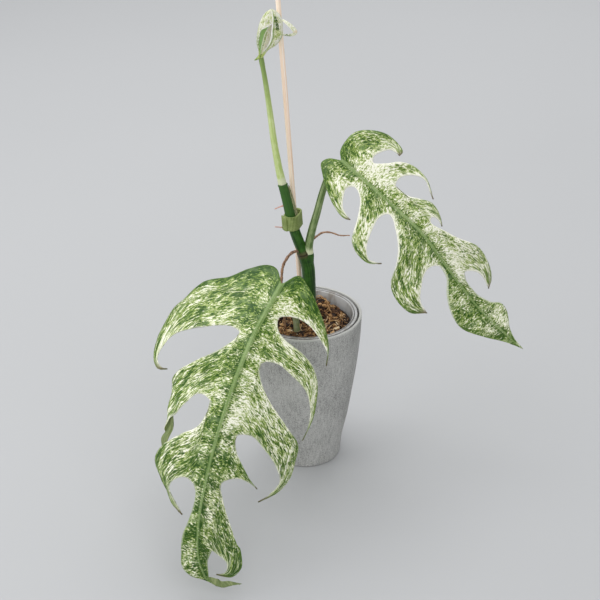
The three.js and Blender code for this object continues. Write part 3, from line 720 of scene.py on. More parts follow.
def half_grids(leaf, blade, half, side):
    """The grids of one half of a leaf, with the distances to its bays and to its outer margin."""
    grids, bays, outer = [], [], []
    first = half["lobes"][0]
    edge = Curve([[0, 0], half["shoulder"], *first["near"], first["tip"]])
    even = np.linspace(0, 1, FREE_ROWS + 1)
    near = np.concatenate([
        spread(edge, 0, edge.marks[1], ROOT_SHARES), spread(edge, edge.marks[1], edge.length, even)[1:],
    ])
    outer.append(edge.points)
    start = 0
    for i, lobe in enumerate(half["lobes"]):
        last = i + 1 == len(half["lobes"])
        beyond = half["end"] if last else [*half["lobes"][i + 1]["near"], half["lobes"][i + 1]["tip"]]
        back = lobe["far"][::-1]
        edge = Curve([lobe["tip"], *back, lobe["sinus"], *beyond])
        cut = edge.marks[len(back) + 1]
        root = np.array([lobe["foot"], 0]) * (1 - ROOT_SHARES[:, None])
        root = root + np.array(lobe["sinus"]) * ROOT_SHARES[:, None]
        far = np.concatenate([root, spread(edge, cut, 0, even)[1:]])
        grids.append(lobe_grid(blade, lobe, start, near, far) | {"flip": side < 0})
        near = np.concatenate([root, spread(edge, cut, edge.length, even)[1:]])
        reach = edge.reach[::4]
        fade = np.clip((reach - cut) / (edge.length - cut), 0, 1)
        bays.append((edge.points[::4], 5 * np.maximum(0, fade - 0.4)))
        outer.append(edge.points[edge.reach > cut + 0.45 * (edge.length - cut)])
        start = lobe["foot"]
    grids.append(end_grid(leaf, blade, half, start, half["lobes"][-1]["sinus"]) | {"flip": side > 0})
    outer.append(Curve([half["lobes"][-1]["sinus"], *half["end"]]).points)
    outline = np.concatenate(outer)
    for grid in grids:
        bay = np.min([nearest(grid["flat"], line, bias) for line, bias in bays], axis=0)
        rim = nearest(grid["flat"], outline[::4], np.zeros(len(outline[::4])))
        u, v = grid["flat"][..., 0], grid["flat"][..., 1]
        share = np.clip(u / leaf["rib_end"], 0, 1)
        ridge = 0.55 * bell(v, 1.7) * (1 - 0.75 * share)
        swell = 0.35 * np.sin(grid["across"] * 0.31 + 2.1) * np.sin(grid["along"] * 0.12) * ease(grid["along"], 2, 12)
        roll = 0.8 * np.exp(-np.minimum(bay, rim) / 1.6)
        lift = BLADE / 2 + ridge + swell - roll - 0.5 * grid["vein"]
        grid["points"] = grid["points"] + grid["normal"] * lift[..., None]
        grid["map"] = joined(side * (grid["across"] + 200), grid["along"])
        grid["values"] = {
            "margins": joined(bay, rim, np.abs(v) + 50 * grid["free"]),
            "course": joined(share, grid["free"], grid["along"]),
        }
    return grids


def leaf_piece(name, leaf, materials):
    """A blade with its rib's keel below. The first material is its face and the second its back."""
    blade = Blade(leaf)
    grids = [grid for half, side in zip(leaf["halves"], (-1, 1)) for grid in half_grids(leaf, blade, half, side)]
    piece = grid_piece(name, grids, materials)
    add_keel(piece)
    deepest = BLADE + KEEL[0]
    modify(
        piece, "SOLIDIFY", thickness=deepest * MM, offset=-1, vertex_group="keel",
        thickness_vertex_group=BLADE / deepest, material_offset=1, use_rim=True, use_even_offset=False,
    )
    return piece


def add_keel(piece):
    """Marks how thick the rib is below each point of the blade."""
    mesh = piece.data
    count = len(mesh.vertices)
    values = {}
    for key in ("margins", "course"):
        flat = np.empty(count * 3, np.float32)
        mesh.attributes[key].data.foreach_get("vector", flat)
        values[key] = flat.reshape(count, 3)
    share = values["course"][:, 0]
    width = KEEL_HALF_WIDTH * (1 - 0.6 * share)
    arch = np.sqrt(np.clip(1 - (values["margins"][:, 2] / width) ** 2, 0, 1))
    depth = (KEEL[0] + (KEEL[1] - KEEL[0]) * share) * arch / KEEL[0]
    group = piece.vertex_groups.new(name="keel")
    for index in np.nonzero(depth > 0.01)[0].tolist():
        group.add([index], float(depth[index]), "REPLACE")


def leaf_face(name, look):
    """Marbled green and cream in flecks that follow the veins, with a plain rib and pale bays."""
    finish = Finish(name)
    laid = finish.map()
    side = finish.parts(laid)[0]
    bay, rim, rib = finish.parts(finish.attribute("margins"))
    share, free, reach = finish.parts(finish.attribute("course"))

    # Long flecks along the veins, which curl and shorten near the rib, in zones of more and less cream
    moved = finish.shifted(finish.shifted(laid, (6, 9, 0), 0.05), (2.2, 3.2, 0), 0.3)
    curly = finish.shifted(moved, (2.4, 2.8, 0), 0.4)
    streak = finish.noise(moved, (1 / 1.3, 1 / 6.5, 1), 4, 0.7)
    crumb = finish.noise(curly, (1, 1 / 2.9, 1), 4, 0.72, (7, 3, 0))
    patch = finish.noise(laid, (1 / 11, 1 / 24, 1), 2, 0.55, (3, 8, 0))
    broad = finish.noise(laid, (1 / 30, 1 / 44, 1), 1, 0.5, (9, 1, 0))
    fleck = streak + (crumb - streak) * finish.step(reach, 34, 4, 0.25, 0.75)
    level = fleck + (patch - 0.5) * look.patchiness + (broad - 0.5) * 0.12 + look.cream_share
    level = level - finish.step(rib, 7, 1.5, 0, 0.04) - finish.step(share, 0.07, 0, 0, 0.05)
    level = level - finish.step(share, 0.4, 0.15) * look.base_green
    level = level + finish.step(bay, 8, 0, 0, 0.022) - finish.step(rim, 9, 0, 0, 0.035) - share * look.tail_green
    level = level + finish.step(side, -50, 50) * look.right_half
    level = level - finish.step(side, -8, 8, -1, 1) * finish.step(share, 0.62, 0.76) * look.tail_turn
    level = (level - MIDDLE_LEVEL) * (1 + share * look.tail_contrast) + MIDDLE_LEVEL
    colour = finish.ramp(
        level, (0.395, look.dark), (0.45, look.mid), (0.49, look.fresh), (0.528, look.cream_green),
        (0.575, look.cream),
    )

    # Waxy and deep green patches, then the pale bays, the green hem of the blade, its rib with painted shade along
    # its edges, and its dry tips
    wax = finish.step(finish.noise(laid, (1 / 8, 1 / 13, 1), 3, 0.5, (51, 27, 0)), 0.5, 0.64)
    deep = finish.noise(moved, (1 / 8, 1 / 14, 1), 2, 0.5, (31, 17, 0)) + share * 0.06
    deep = finish.step(deep, 0.53, 0.64) * finish.step(level, 0.54, 0.47)
    ragged = bay + (crumb - 0.5) * 4 + (patch - 0.5) * 3
    pale = finish.step(ragged, look.bay_width + 0.6, look.bay_width - 0.6)
    hem = finish.step(rim + (streak - 0.5) * 5, 2.2, 0.3)
    width = look.rib_width
    away = rib + share * look.rib_taper
    band = finish.step(away + (crumb - 0.5) * 2.4, width + 0.7, width - 0.7)
    lines = finish.step(finish.noise(laid, (0.03, 2.4, 1)), 0.4, 0.6)
    colour = finish.over(
        colour,
        (wax * finish.step(level, 0.58, 0.48) * 0.36, look.wax),
        (deep * (0.45 + share * look.tail_green * 10), look.dark),
        (pale * look.bay_white, look.cream),
        (hem * look.rim_green, look.mid),
        (band * 0.85, finish.mix(lines, look.rib, look.rib_light)),
        # painted shade: thin dark lines along both edges of the raised rib
        (finish.step(abs(away - width - 0.7), 0.8, 0.2) * 0.35, look.dark),
        (finish.step(free, 0.86, 1), look.thread),
    )
    relief = finish.bump(streak * 0.6 + finish.noise(laid, 0.9, 3) * 0.4, 0.0004, 0.45)
    low = look.roughness
    return finish.surface(
        Base_Color=colour, Roughness=finish.step(crumb, 0.3, 0.7, low, low + 0.14), Normal=relief,
        Specular_IOR_Level=0.3,
    )


def leaf_back(name, look):
    """The paler, duller underside, with its veins."""
    finish = Finish(name)
    laid = finish.map()
    rib = finish.parts(finish.attribute("margins"))[2]
    streak = finish.noise(finish.shifted(laid, (3, 6, 0), 0.08), (1 / 2.2, 1 / 12, 1), 3, 0.6)
    patch = finish.noise(laid, (1 / 15, 1 / 34, 1), 2, 0.55, (3, 8, 0))
    veins = finish.step(finish.noise(laid, (1 / 3, 1 / 60, 1), 1), 0.56, 0.66)
    cream = finish.step(streak + (patch - 0.5) * 0.5, 0.5, 0.62) * 0.6
    colour = finish.over(
        finish.mix(cream, look.back, look.back_light), (veins * 0.3, look.rib_light),
        (finish.step(rib, 3, 1.6), look.rib_light),
    )
    return finish.surface(Base_Color=colour, Roughness=0.55, Normal=finish.bump(veins + streak * 0.4, 0.0005, 0.5))


def stalk_skin(name, look, shape):
    """Smooth skin with fine lines along it, a pale foot, another tone near the leaf and one dark line of painted
    shade along its groove.
    """
    finish = Finish(name)
    laid = finish.map()
    reach, around, _ = finish.parts(laid)
    strand = finish.noise(laid, (0.012, 22, 1), 3, 0.6)
    mottle = finish.noise(laid, (0.12, 5, 1), 3, 0.55)
    pale = finish.step(reach + (mottle - 0.5) * 4, shape.foot, shape.foot * 0.6)
    # painted shade: a dark line along the groove's shaded side
    edge = finish.step(abs(around - shape.line / TAU), 0.032, 0.012) * shape.strength
    colour = finish.over(
        finish.mix(finish.step(strand * 0.7 + mottle * 0.3, 0.38, 0.6), look.light, look.dark),
        (finish.step(reach + (mottle - 0.5) * 18, *shape.head), finish.mix(strand, look.head, look.dark)),
        (pale, look.foot), (edge * (1 - pale), look.line),
    )
    return finish.surface(
        Base_Color=colour, Roughness=finish.step(mottle, 0.3, 0.7, 0.42, 0.56),
        Normal=finish.bump(strand + mottle * 0.4, 0.0003, 0.5), Specular_IOR_Level=0.3,
    )


def stem_skin(name, look, nodes):
    """Dark green bark with fine lines, a dry scar and a dark seam at each node, widened and darkened as painted shade
    of the fork, and a fresher top.
    """
    finish = Finish(name)
    laid = finish.map()
    reach = finish.parts(laid)[0]
    strand = finish.noise(laid, (0.02, 20, 1), 4, 0.65)
    mottle = finish.noise(laid, (0.16, 6, 1), 4, 0.6)
    fresh = finish.step(reach + (mottle - 0.5) * 14, nodes[1] + 6, nodes[1] + 58)
    colour = finish.over(
        finish.mix(finish.step(strand * 0.6 + mottle * 0.4, 0.4, 0.6), look.dark, look.mid),
        (fresh * 0.7, finish.mix(strand, look.fresh, look.mid)),
    )
    # painted shade: the scar and seam at each node are the node's own dry ring and joint, made wider and darker to
    # stand for the shade in the fork
    for node in nodes:
        off = abs(reach + (mottle - 0.5) * 2.6 - node)
        colour = finish.over(
            colour, (finish.step(off, 4.6, 1.2) * 0.85, look.scar_and_shade), (finish.step(off, 0.9, 0.3) * 0.85, look.seam),
        )
    return finish.surface(
        Base_Color=colour, Roughness=finish.step(mottle, 0.3, 0.7, 0.4, 0.56),
        Normal=finish.bump(strand * 0.6 + mottle * 0.5, 0.0005, 0.55), Specular_IOR_Level=0.28,
    )


def root_skin(name, light, dark, length):
    """Dry brown skin, darker where it is old, with fine cracks round it."""
    finish = Finish(name)
    laid = finish.map()
    mottle = finish.noise(laid, (0.35, 4, 1), 4, 0.65)
    rings = finish.noise(laid, (1.6, 2, 1))
    age = finish.step(finish.parts(laid)[0] + (mottle - 0.5) * 14, 0, length * 0.55)
    colour = finish.mix(finish.step(mottle, 0.35, 0.65) * 0.6 + age * 0.4, dark, light)
    return finish.surface(Base_Color=colour, Roughness=0.75, Normal=finish.bump(rings * 0.5 + mottle, 0.0004, 0.8))


def cup_skin(name, look, inner):
    """The newest leaf: cream with green flecks. Its inside shows the dark rib and a dry patch."""
    finish = Finish(name)
    angle, height, _ = finish.parts(finish.map())
    laid = finish.scaled(finish.map(), (8.5, 1, 1))
    moved = finish.shifted(laid, (3, 4, 0), 0.12)
    streak = finish.noise(moved, (1 / 0.9, 1 / 3.2, 1), 3, 0.62)
    crumb = finish.noise(moved, (1 / 0.7, 1, 1), 2, 0.5, (5, 2, 0))
    patch = finish.noise(laid, (1 / 6, 1 / 8, 1), 2, 0.55, (3, 8, 0))
    lower = finish.step(angle, -0.75, -0.35) * finish.step(height, 438, 430)
    wedge = finish.step(abs(angle + 1.05 + (height - 445) * 0.02), 0.22, 0.1) * finish.step(abs(height - 445), 7, 5)
    rim = (angle - NEW_LEAF_MARGINS[1]) * 9
    colour = finish.over(
        finish.ramp(
            streak * 0.6 + crumb * 0.4 + (patch - 0.5) * 0.45, (0.42, look.cream), (0.54, look.cream_green),
            (0.62, look.fresh), (0.7, look.mid),
        ),
        (lower * finish.step(crumb, 0.42, 0.54) * 0.9, look.mid),
        (wedge * finish.step(crumb, 0.36, 0.5), look.dark),
        (finish.step(abs(rim - 1.7), 0.9, 0.4) * 0.7, look.mid),
        (finish.step(abs(rim - 0.5), 0.8, 0.4), look.cream),
        (finish.step(height, 422, 415), look.base),
    )
    if inner:
        dry = finish.step(abs(angle - 1.25), 0.62, 0.5) * finish.step(height, 447, 441)
        hatch = finish.step(finish.noise(laid, (1.7, 0.5, 1)), 0.45, 0.58)
        line = 2.42 - ((height - 418) * 0.0085) - finish.step(height, 430, 446, 0, 0.4)
        off = abs(angle - line + (streak - 0.5) * 0.16)
        colour = finish.over(
            colour, (dry * 0.9, finish.mix(hatch, look.dry, look.dry_line)),
            (finish.step(off, 0.42, 0.3) * finish.step(height, 447, 443), look.cream),
            (finish.step(off, 0.31, 0.22) * finish.step(height, 446, 442), look.rib_deep),
        )
    return finish.surface(
        Base_Color=colour, Roughness=finish.step(crumb, 0.3, 0.7, 0.42, 0.55),
        Normal=finish.bump(streak * 0.6 + crumb * 0.3, 0.0003, 0.6), Specular_IOR_Level=0.3,
        Subsurface_Weight=0.5, Subsurface_Radius=(0.9, 1, 0.7), Subsurface_Scale=0.004,
    )


def lobe_skin(name, look):
    """The looped lobe: cream, greener along its last stretch, with a dry line across it."""
    finish = Finish(name)
    reach = finish.parts(finish.map())[0]
    crumb = finish.noise(finish.place(), 900, 3, 0.6)
    green = finish.step(reach + (crumb - 0.5) * 6, 20, 26)
    colour = finish.over(
        finish.ramp(crumb, (0.42, look.cream), (0.62, look.cream_green)),
        (green * finish.step(crumb, 0.4, 0.52), look.mid), (finish.step(abs(reach - 15.5), 1.4, 0.6), look.dry_line),
    )
    return finish.surface(Base_Color=colour, Roughness=0.5, Normal=finish.bump(crumb, 0.0002, 0.4))


def plain_skin(name, light, dark):
    """Two close tones in small soft mottles."""
    finish = Finish(name)
    mottle = finish.noise(finish.place(), (700, 700, 210), 3, 0.6)
    colour = finish.mix(finish.step(mottle, 0.38, 0.62), light, dark)
    return finish.surface(Base_Color=colour, Roughness=0.55, Normal=finish.bump(mottle, 0.0002, 0.5))


def pot_concrete(name, look):
    """Brushed grey cast: fine upright streaks, speckles, small pores darkened with painted shade, and a lighter rim
    that is a painted highlight.
    """
    finish = Finish(name)
    place = finish.place()
    height = finish.parts(place)[2]
    streak = finish.noise(place, (700, 700, 45), 3, 0.6)
    speck = finish.noise(place, (1100, 1100, 800), 2, 0.7)
    broad = finish.noise(place, (28, 28, 20), 3, 0.55)
    pores = finish.step(finish.cells(place, (210, 210, 170)), 0.16, 0.08)
    pores = pores * finish.step(finish.noise(place, 60), 0.5, 0.62)
    level = streak * 0.3 + speck * 0.66 + broad * 0.26 - 0.11
    colour = finish.over(
        # painted shade: the small pores are darkened where shade falls in them
        finish.ramp(level, (0.36, look.dark), (0.5, look.grey), (0.64, look.light)), (pores * 0.55, look.pore_shade),
        # painted highlight: the top of the rim is lightened where light catches it
        (finish.step(height / MM + (speck - 0.5) * 1.2, *POT_RIM_HIGHLIGHT) * 0.75, look.light),
    )
    return finish.surface(
        Base_Color=colour, Roughness=finish.step(speck, 0.2, 0.8, 0.78, 0.92),
        Normal=finish.bump(streak * 0.5 + speck * 0.35 - pores * 0.8, 0.0006, 0.55),
    )


def clear_plastic(name, look):
    """Thin clear moulding, clouded and streaked where it was wet, with dark lines of painted shade where its rim is
    stepped.
    """
    finish = Finish(name)
    place = finish.place()
    flat = finish.scaled(place, (1, 1, 0))
    radius = finish.node("ShaderNodeVectorMath", {"operation": "LENGTH"}, {0: flat}, "Value")
    drops = finish.noise(place, (300, 300, 45), 4, 0.65)
    broad = finish.noise(place, (55, 55, 30))
    cloud = finish.step(drops * 0.6 + broad * 0.4, 0.42, 0.6)
    edge = radius / MM + (broad - 0.5) * 0.8
    colour = finish.over(
        finish.mix(cloud * 0.8, look.clear, look.cloud),
        # painted shade: dark rings at the rim's stepped edges; the outer one stands in for the shaded gap next to the
        # cachepot's rim
        (finish.step(abs(edge - NURSERY_STEPS[0]), 0.9, 0.2) * 0.85, look.step),
        (finish.step(abs(edge - NURSERY_STEPS[1]), 0.8, 0.2) * 0.8, look.step),
    )
    return finish.surface(
        Base_Color=colour, Roughness=finish.step(cloud, 0, 1, 0.08, 0.3), Alpha=0.5 + cloud * 0.25,
        Normal=finish.bump(drops, 0.0004, 0.2), Coat_Weight=0.2,
    )


def loose_fibre(name, look):
    """Coir and bark: each bit has its own tone, with fine strands and broad zones of painted shade."""
    finish = Finish(name)
    place = finish.place()
    bit = finish.parts(finish.attribute("bit"))[0]
    grain = finish.noise(place, 420, 4, 0.7)
    coarse = finish.noise(place, 120, 3, 0.6)
    # painted shade: broad noise darkens zones of the substrate, standing for the shade under the pot's rim
    shade_zone = finish.noise(place, (34, 34, 34), 2, 0.6, (0.3, 0.2, 0.4))
    level = bit * 0.85 + (grain - 0.5) * 0.95 + (coarse - 0.5) * 0.5 + (shade_zone - 0.5) * 1.6 - 0.15
    colour = finish.ramp(level, (0.16, look.dark), (0.4, look.brown), (0.66, look.tan), (0.98, look.pale))
    return finish.surface(Base_Color=colour, Roughness=0.9, Normal=finish.bump(grain + coarse, 0.0008, 0.9))


def pale_wood(name, look):
    """Bare round stick: grain along it, a few darker streaks."""
    finish = Finish(name)
    lean = math.atan2(STAKE[1][0] - STAKE[0][0], STAKE[1][2] - STAKE[0][2])
    straight = finish.scaled(finish.place(), (1, 1, 1), turn=(0, -lean, 0))
    grain = finish.noise(straight, (1500, 1500, 14), 3, 0.6)
    broad = finish.noise(straight, (260, 260, 12))
    knots = finish.step(finish.noise(straight, (90, 90, 40)), 0.6, 0.72)
    level = grain * 0.6 + broad * 0.4
    colour = finish.over(
        finish.ramp(level, (0.36, look.wood_dark), (0.5, look.wood), (0.62, look.wood_light)),
        (knots * 0.5, look.wood_dark),
    )
    return finish.surface(Base_Color=colour, Roughness=0.72, Normal=finish.bump(grain, 0.0003, 0.5))


def woven_band(name, look, pitch):
    """Hook-and-loop webbing: upright ribs, cross threads and a fuzzy surface, with painted shade in the gaps and a
    painted highlight on the raised threads.
    """
    finish = Finish(name)
    length, height, _ = finish.parts(finish.map())
    place = finish.place()
    fuzz = finish.noise(place, 2600, 3, 0.7)
    broad = finish.noise(place, 160)
    rib = finish.wave(length, pitch)
    thread = finish.wave(height, pitch * 0.6)
    # painted shade and highlight: the tone follows the ribs and threads of the relief, darker in the gaps and lighter
    # on top, besides the fuzz's own tone
    level = rib * 0.2 + thread * 0.08 + (fuzz - 0.5) * 0.7 + (broad - 0.5) * 0.5 + 0.5
    colour = finish.ramp(level, (0.2, look.band_dark), (0.5, look.band), (0.8, look.band_light))
    relief = finish.bump(rib * 0.35 + thread * 0.2 + fuzz * 0.6, 0.0006, 0.8)
    return finish.surface(Base_Color=colour, Roughness=0.92, Normal=relief)


def studio_paper(name, colour):
    """Plain pale paper with a barely seen tooth."""
    finish = Finish(name)
    place = finish.place()
    shade = finish.mix(finish.noise(place, 1.4), colour, tuple(part * 0.94 for part in colour))
    return finish.surface(Base_Color=shade, Roughness=0.9, Normal=finish.bump(finish.noise(place, 900), 0.0002, 0.2))


def spun_piece(name, outline, material, steps):
    """A closed outline of [radius, height] in millimetres, spun round the pot's axis."""
    mesh = bpy.data.meshes.new(name)
    points = [(radius * MM, 0, height * MM) for radius, height in outline]
    mesh.from_pydata(points, [(i, i + 1) for i in range(len(points) - 1)], [])
    piece = add_piece(name, mesh, [material])
    select(piece)
    bpy.ops.object.mode_set(mode="EDIT")
    bpy.ops.mesh.select_all(action="SELECT")
    bpy.ops.mesh.spin(steps=steps, angle=TAU, center=(0, 0, 0), axis=(0, 0, 1))
    bpy.ops.mesh.select_all(action="SELECT")
    bpy.ops.mesh.remove_doubles(threshold=0.01 * MM)
    bpy.ops.mesh.normals_make_consistent(inside=False)
    bpy.ops.object.mode_set(mode="OBJECT")
    bpy.ops.object.shade_smooth_by_angle(angle=SMOOTH_ANGLE)
    return piece


def drill(piece, places, radius, depth):
    """Cuts round upright holes through a piece, centred on the places given in millimetres."""
    for place in places:
        bpy.ops.object.select_all(action="DESELECT")
        bpy.ops.mesh.primitive_cylinder_add(
            vertices=24, radius=radius * MM, depth=depth * MM, location=[part * MM for part in place],
        )
        cutter = bpy.context.object
        modify(piece, "BOOLEAN", operation="DIFFERENCE", object=cutter, solver="EXACT")
        bpy.data.meshes.remove(cutter.data)


def arc(x, y, radius, start, stop, count=5):
    """Points of a rounded corner about x, y, with its angles in degrees."""
    turns = [math.radians(start + (stop - start) * i / count) for i in range(count + 1)]
    return [[x + radius * math.cos(t), y + radius * math.sin(t)] for t in turns]


def cachepot_outline():
    """The thin wall with its foot ring, rounded rim and flat floor."""
    wall = Curve(POT_OUTLINE)
    outer = wall.at(np.linspace(4, wall.length - 3, 40)).tolist()
    foot = POT_OUTLINE[0][0]
    rim, top = POT_OUTLINE[-1]
    edge = arc(rim - 1, top - 1, 1, 0, 90) + arc(rim - POT_WALL + 0.9, top - 0.9, 0.9, 90, 180)
    inner = [[r - POT_WALL, z] for r, z in reversed(outer) if z > POT_FLOOR + 4]
    base = [[0, 0.8], [foot - 7, 0.8], [foot - 5.5, 0], *arc(foot - 1.6, 1.9, 1.9, -90, -5)]
    return base + outer + edge + inner + [[foot - POT_WALL - 1.5, POT_FLOOR], [0, POT_FLOOR]]


def nursery_outline():
    """The tapering wall with its fine ribs, and the flat rim with its turned-down lip."""
    foot, floor = NURSERY_FOOT
    rim, top = NURSERY_RIM
    reach, thick = NURSERY_FLANGE
    under = top - thick
    out = [[0, floor], *arc(foot - 1.5, floor + 1.5, 1.5, -90, -5)]
    for i in range(1, NURSERY_RIBS + 1):
        share = i / (NURSERY_RIBS + 1)
        radius, height = foot + (rim - foot) * share, floor + (under - floor) * share
        out += [[radius, height - 0.5], [radius + 0.25, height], [radius, height + 0.5]]
    out += [[rim, under], [reach - 1.2, under], [reach - 1.2, under - NURSERY_LIP]]
    out += arc(reach - 0.6, under - NURSERY_LIP, 0.6, 180, 360) + arc(reach - 0.8, top - 0.8, 0.8, 0, 90)
    return out + arc(rim + 0.2, top - 1, 1, 90, 180) + [[foot - 1, floor + 1.5], [0, floor + 1.5]]


def ground(x, y):
    """Height of the substrate's top, in millimetres."""
    coarse = noise.fractal(Vector((x * 0.07, y * 0.07, 1.7)), 1.0, 2.0, 3)
    fine = noise.fractal(Vector((x * 0.4, y * 0.4, 4.2)), 0.8, 2.0, 3)
    off = (x - SOIL_MOUND["centre"][0]) ** 2 + (y - SOIL_MOUND["centre"][1]) ** 2
    return SOIL_HEIGHT + SOIL_MOUND["height"] * math.exp(-off / SOIL_MOUND["spread"]) + 1.6 * coarse + 0.9 * fine


def soil_bed(name, material, rings=60, turns=168):
    """The substrate's body: a bumpy top, a side that tapers down to the pot's floor, and its foot."""
    angle = np.linspace(0, TAU, turns + 1)
    around = joined(np.cos(angle), np.sin(angle), 0)
    radius = SOIL_RADIUS * np.linspace(0, 1, rings + 1)
    x, y = np.outer(radius, around[:, 0]), np.outer(radius, around[:, 1])
    top = np.array([[ground(a, b) for a, b in zip(*row)] for row in zip(x, y)])
    edge = ease(radius, SOIL_RADIUS - 3, SOIL_RADIUS)[:, None]
    cap = joined(x, y, top * (1 - edge) + (SOIL_HEIGHT - 1.5) * edge)
    foot = NURSERY_FOOT[0] - 1.6
    base = np.stack([around * foot, around * 0]) + np.array([0, 0, SOIL_FOOT])
    grid = {
        "points": np.concatenate([cap, base]), "map": np.zeros((1, 1, 2)), "flip": True,
        # painted shade: the bed's low tone makes the gaps between the chips dark, over the substrate's own dark brown
        "values": {"bit": np.full((1, 1, 3), 0.12)},
    }
    return grid_piece(name, [grid], [material])


def clear_of_stems(x, y, room):
    """True where nothing grows through the substrate."""
    return all(math.hypot(x - a, y - b) > radius + room for a, b, radius in STEMS_IN_SOIL)


def rounded_lump():
    """Points and faces of a rounded cube of 24 faces, about 2 across."""
    bpy.ops.object.select_all(action="DESELECT")
    bpy.ops.mesh.primitive_cube_add(size=2)
    mesh = bpy.context.object.data
    bpy.ops.object.mode_set(mode="EDIT")
    bpy.ops.mesh.select_all(action="SELECT")
    bpy.ops.mesh.subdivide(number_cuts=1)
    bpy.ops.object.mode_set(mode="OBJECT")
    points = np.array([vertex.co for vertex in mesh.vertices])
    faces = np.array([list(face.vertices) for face in mesh.polygons])
    bpy.data.meshes.remove(mesh)
    return points / np.linalg.norm(points, axis=1, keepdims=True) ** 0.7, faces


def strewn_piece(name, bits, material):
    """One mesh of many small bits, each given as its points in millimetres, its faces and its tone."""
    points, faces, tones, start = [], [], [], 0
    for bit_points, bit_faces, tone_here in bits:
        points.append(bit_points)
        faces.append(bit_faces + start)
        tones.append(np.full(3 * len(bit_points), tone_here, np.float32))
        start += len(bit_points)
    mesh = bpy.data.meshes.new(name)
    mesh.from_pydata((np.concatenate(points) * MM).tolist(), [], np.concatenate(faces).tolist())
    attribute = mesh.attributes.new("bit", "FLOAT_VECTOR", "POINT")
    attribute.data.foreach_set("vector", np.concatenate(tones))
    return add_piece(name, mesh, [material])


def bark_bits(name, count, sizes, seed, material, brightest):
    """Rough chips strewn on the substrate, each a small faceted lump with a tone of its own."""
    draw = random.Random(seed)
    base, faces = rounded_lump()
    reach = SOIL_RADIUS - 2
    bits = []
    while len(bits) < count:
        x, y = draw.uniform(-reach, reach), draw.uniform(-reach, reach)
        size = draw.uniform(*sizes)
        if math.hypot(x, y) > reach - size * 0.5 or not clear_of_stems(x, y, size * 0.4):
            continue
        shape = np.array((size, size * draw.uniform(0.35, 0.8), size * draw.uniform(0.18, 0.45)))
        turn = Euler((draw.uniform(-0.5, 0.5), draw.uniform(-0.5, 0.5), draw.uniform(0, TAU))).to_matrix()
        rough = np.array([1 + 0.32 * noise.noise(Vector(p) * 1.7 + Vector((len(bits), 3, 1))) for p in base])
        set_down = np.array([x, y, ground(x, y) + size * 0.105])
        lumpy = base * rough[:, None] * shape / 2
        bits.append((lumpy @ np.array(turn).T + set_down, faces, draw.uniform(0, brightest)))
    return strewn_piece(name, bits, material)


def coir_strands(name, count, seed, material, sides=5, steps=10):
    """Thin curling fibres that lie over the chips."""
    draw = random.Random(seed)
    reach = 42
    ring = np.linspace(0, TAU, sides, endpoint=False)[None, :, None]
    grid = np.arange(sides * (steps + 1)).reshape(steps + 1, sides)
    turned_on = np.roll(grid, -1, axis=1)
    faces = np.stack([grid[:-1], grid[1:], turned_on[1:], turned_on[:-1]], axis=-1).reshape(-1, 4)
    bits = []
    while len(bits) < count:
        x, y = draw.uniform(-reach, reach), draw.uniform(-reach, reach)
        length, bend = draw.uniform(5, 20), draw.uniform(-0.16, 0.16)
        heading, radius = draw.uniform(0, TAU), draw.uniform(0.2, 0.55)
        arch, tone_here = draw.uniform(0.3, 3.2), draw.uniform(0.25, 1.0)
        route = []
        for step in range(steps + 1):
            rise = arch * math.sin(math.pi * step / steps)
            route.append((x, y, ground(x, y) + 0.8 + rise))
            heading += bend * length / steps
            x, y = x + math.cos(heading) * length / steps, y + math.sin(heading) * length / steps
        if any(math.hypot(a, b) > SOIL_RADIUS - 1.5 or not clear_of_stems(a, b, 0.4) for a, b, _ in route):
            continue
        route = np.array(route)
        along = unit(np.gradient(route, axis=0))
        side = unit(np.cross(along, [0.0, 0.0, 1.0]))
        over = np.cross(side, along)
        thin = radius * np.sqrt(np.clip(1 - np.linspace(-1, 1, steps + 1) ** 6, 0.02, 1))[:, None, None]
        spokes = side[:, None] * np.cos(ring) + over[:, None] * np.sin(ring)
        bits.append(((route[:, None] + spokes * thin).reshape(-1, 3), faces, tone_here))
    piece = strewn_piece(name, bits, material)
    piece.data.shade_smooth()
    return piece


def band_outline(extra, count=120):
    """The taut line round the stem and the stake, in the band's plane."""
    rise = (TIE_CENTRE[2] - STAKE[0][2]) / (STAKE[1][2] - STAKE[0][2])
    stake = (Vector(STAKE[0]).lerp(Vector(STAKE[1]), rise) - Vector(TIE_CENTRE)).xy
    posts = [(Vector((0, 0)), TIE_POSTS[0]), (stake, TIE_POSTS[1])]
    line = []
    for i in range(count):
        way = Vector((math.cos(TAU * i / count), math.sin(TAU * i / count)))
        centre, radius = max(posts, key=lambda post: post[0].dot(way) + post[1])
        line.append(centre + way * (radius + extra))
    return [*line, line[0]]


def band_piece(name, line, material, thickness):
    """A strip of webbing that stands on a line in the band's plane, with softly rounded edges."""
    tilt = Vector((0, 0, 1)).rotation_difference(Vector(TIE_TILT).normalized())
    plane = Matrix.Translation(TIE_CENTRE) @ tilt.to_matrix().to_4x4()
    heights = np.linspace(-TIE_HEIGHT / 2, TIE_HEIGHT / 2, 11)
    route = [Vector(p) for p in line]
    reach = [0.0]
    for a, b in zip(route, route[1:]):
        reach.append(reach[-1] + (b - a).length)
    points = [[list(plane @ Vector((p.x, p.y, h))) for h in heights] for p in route]
    grid = {"points": np.array(points), "map": joined(np.array(reach)[:, None], heights)}
    piece = grid_piece(name, [grid], [material])
    modify(piece, "SOLIDIFY", thickness=thickness * MM, offset=0, use_even_offset=True)
    modify(piece, "BEVEL", width=0.35 * MM, segments=2, limit_method="ANGLE", angle_limit=BEVEL_ANGLE)
    return piece


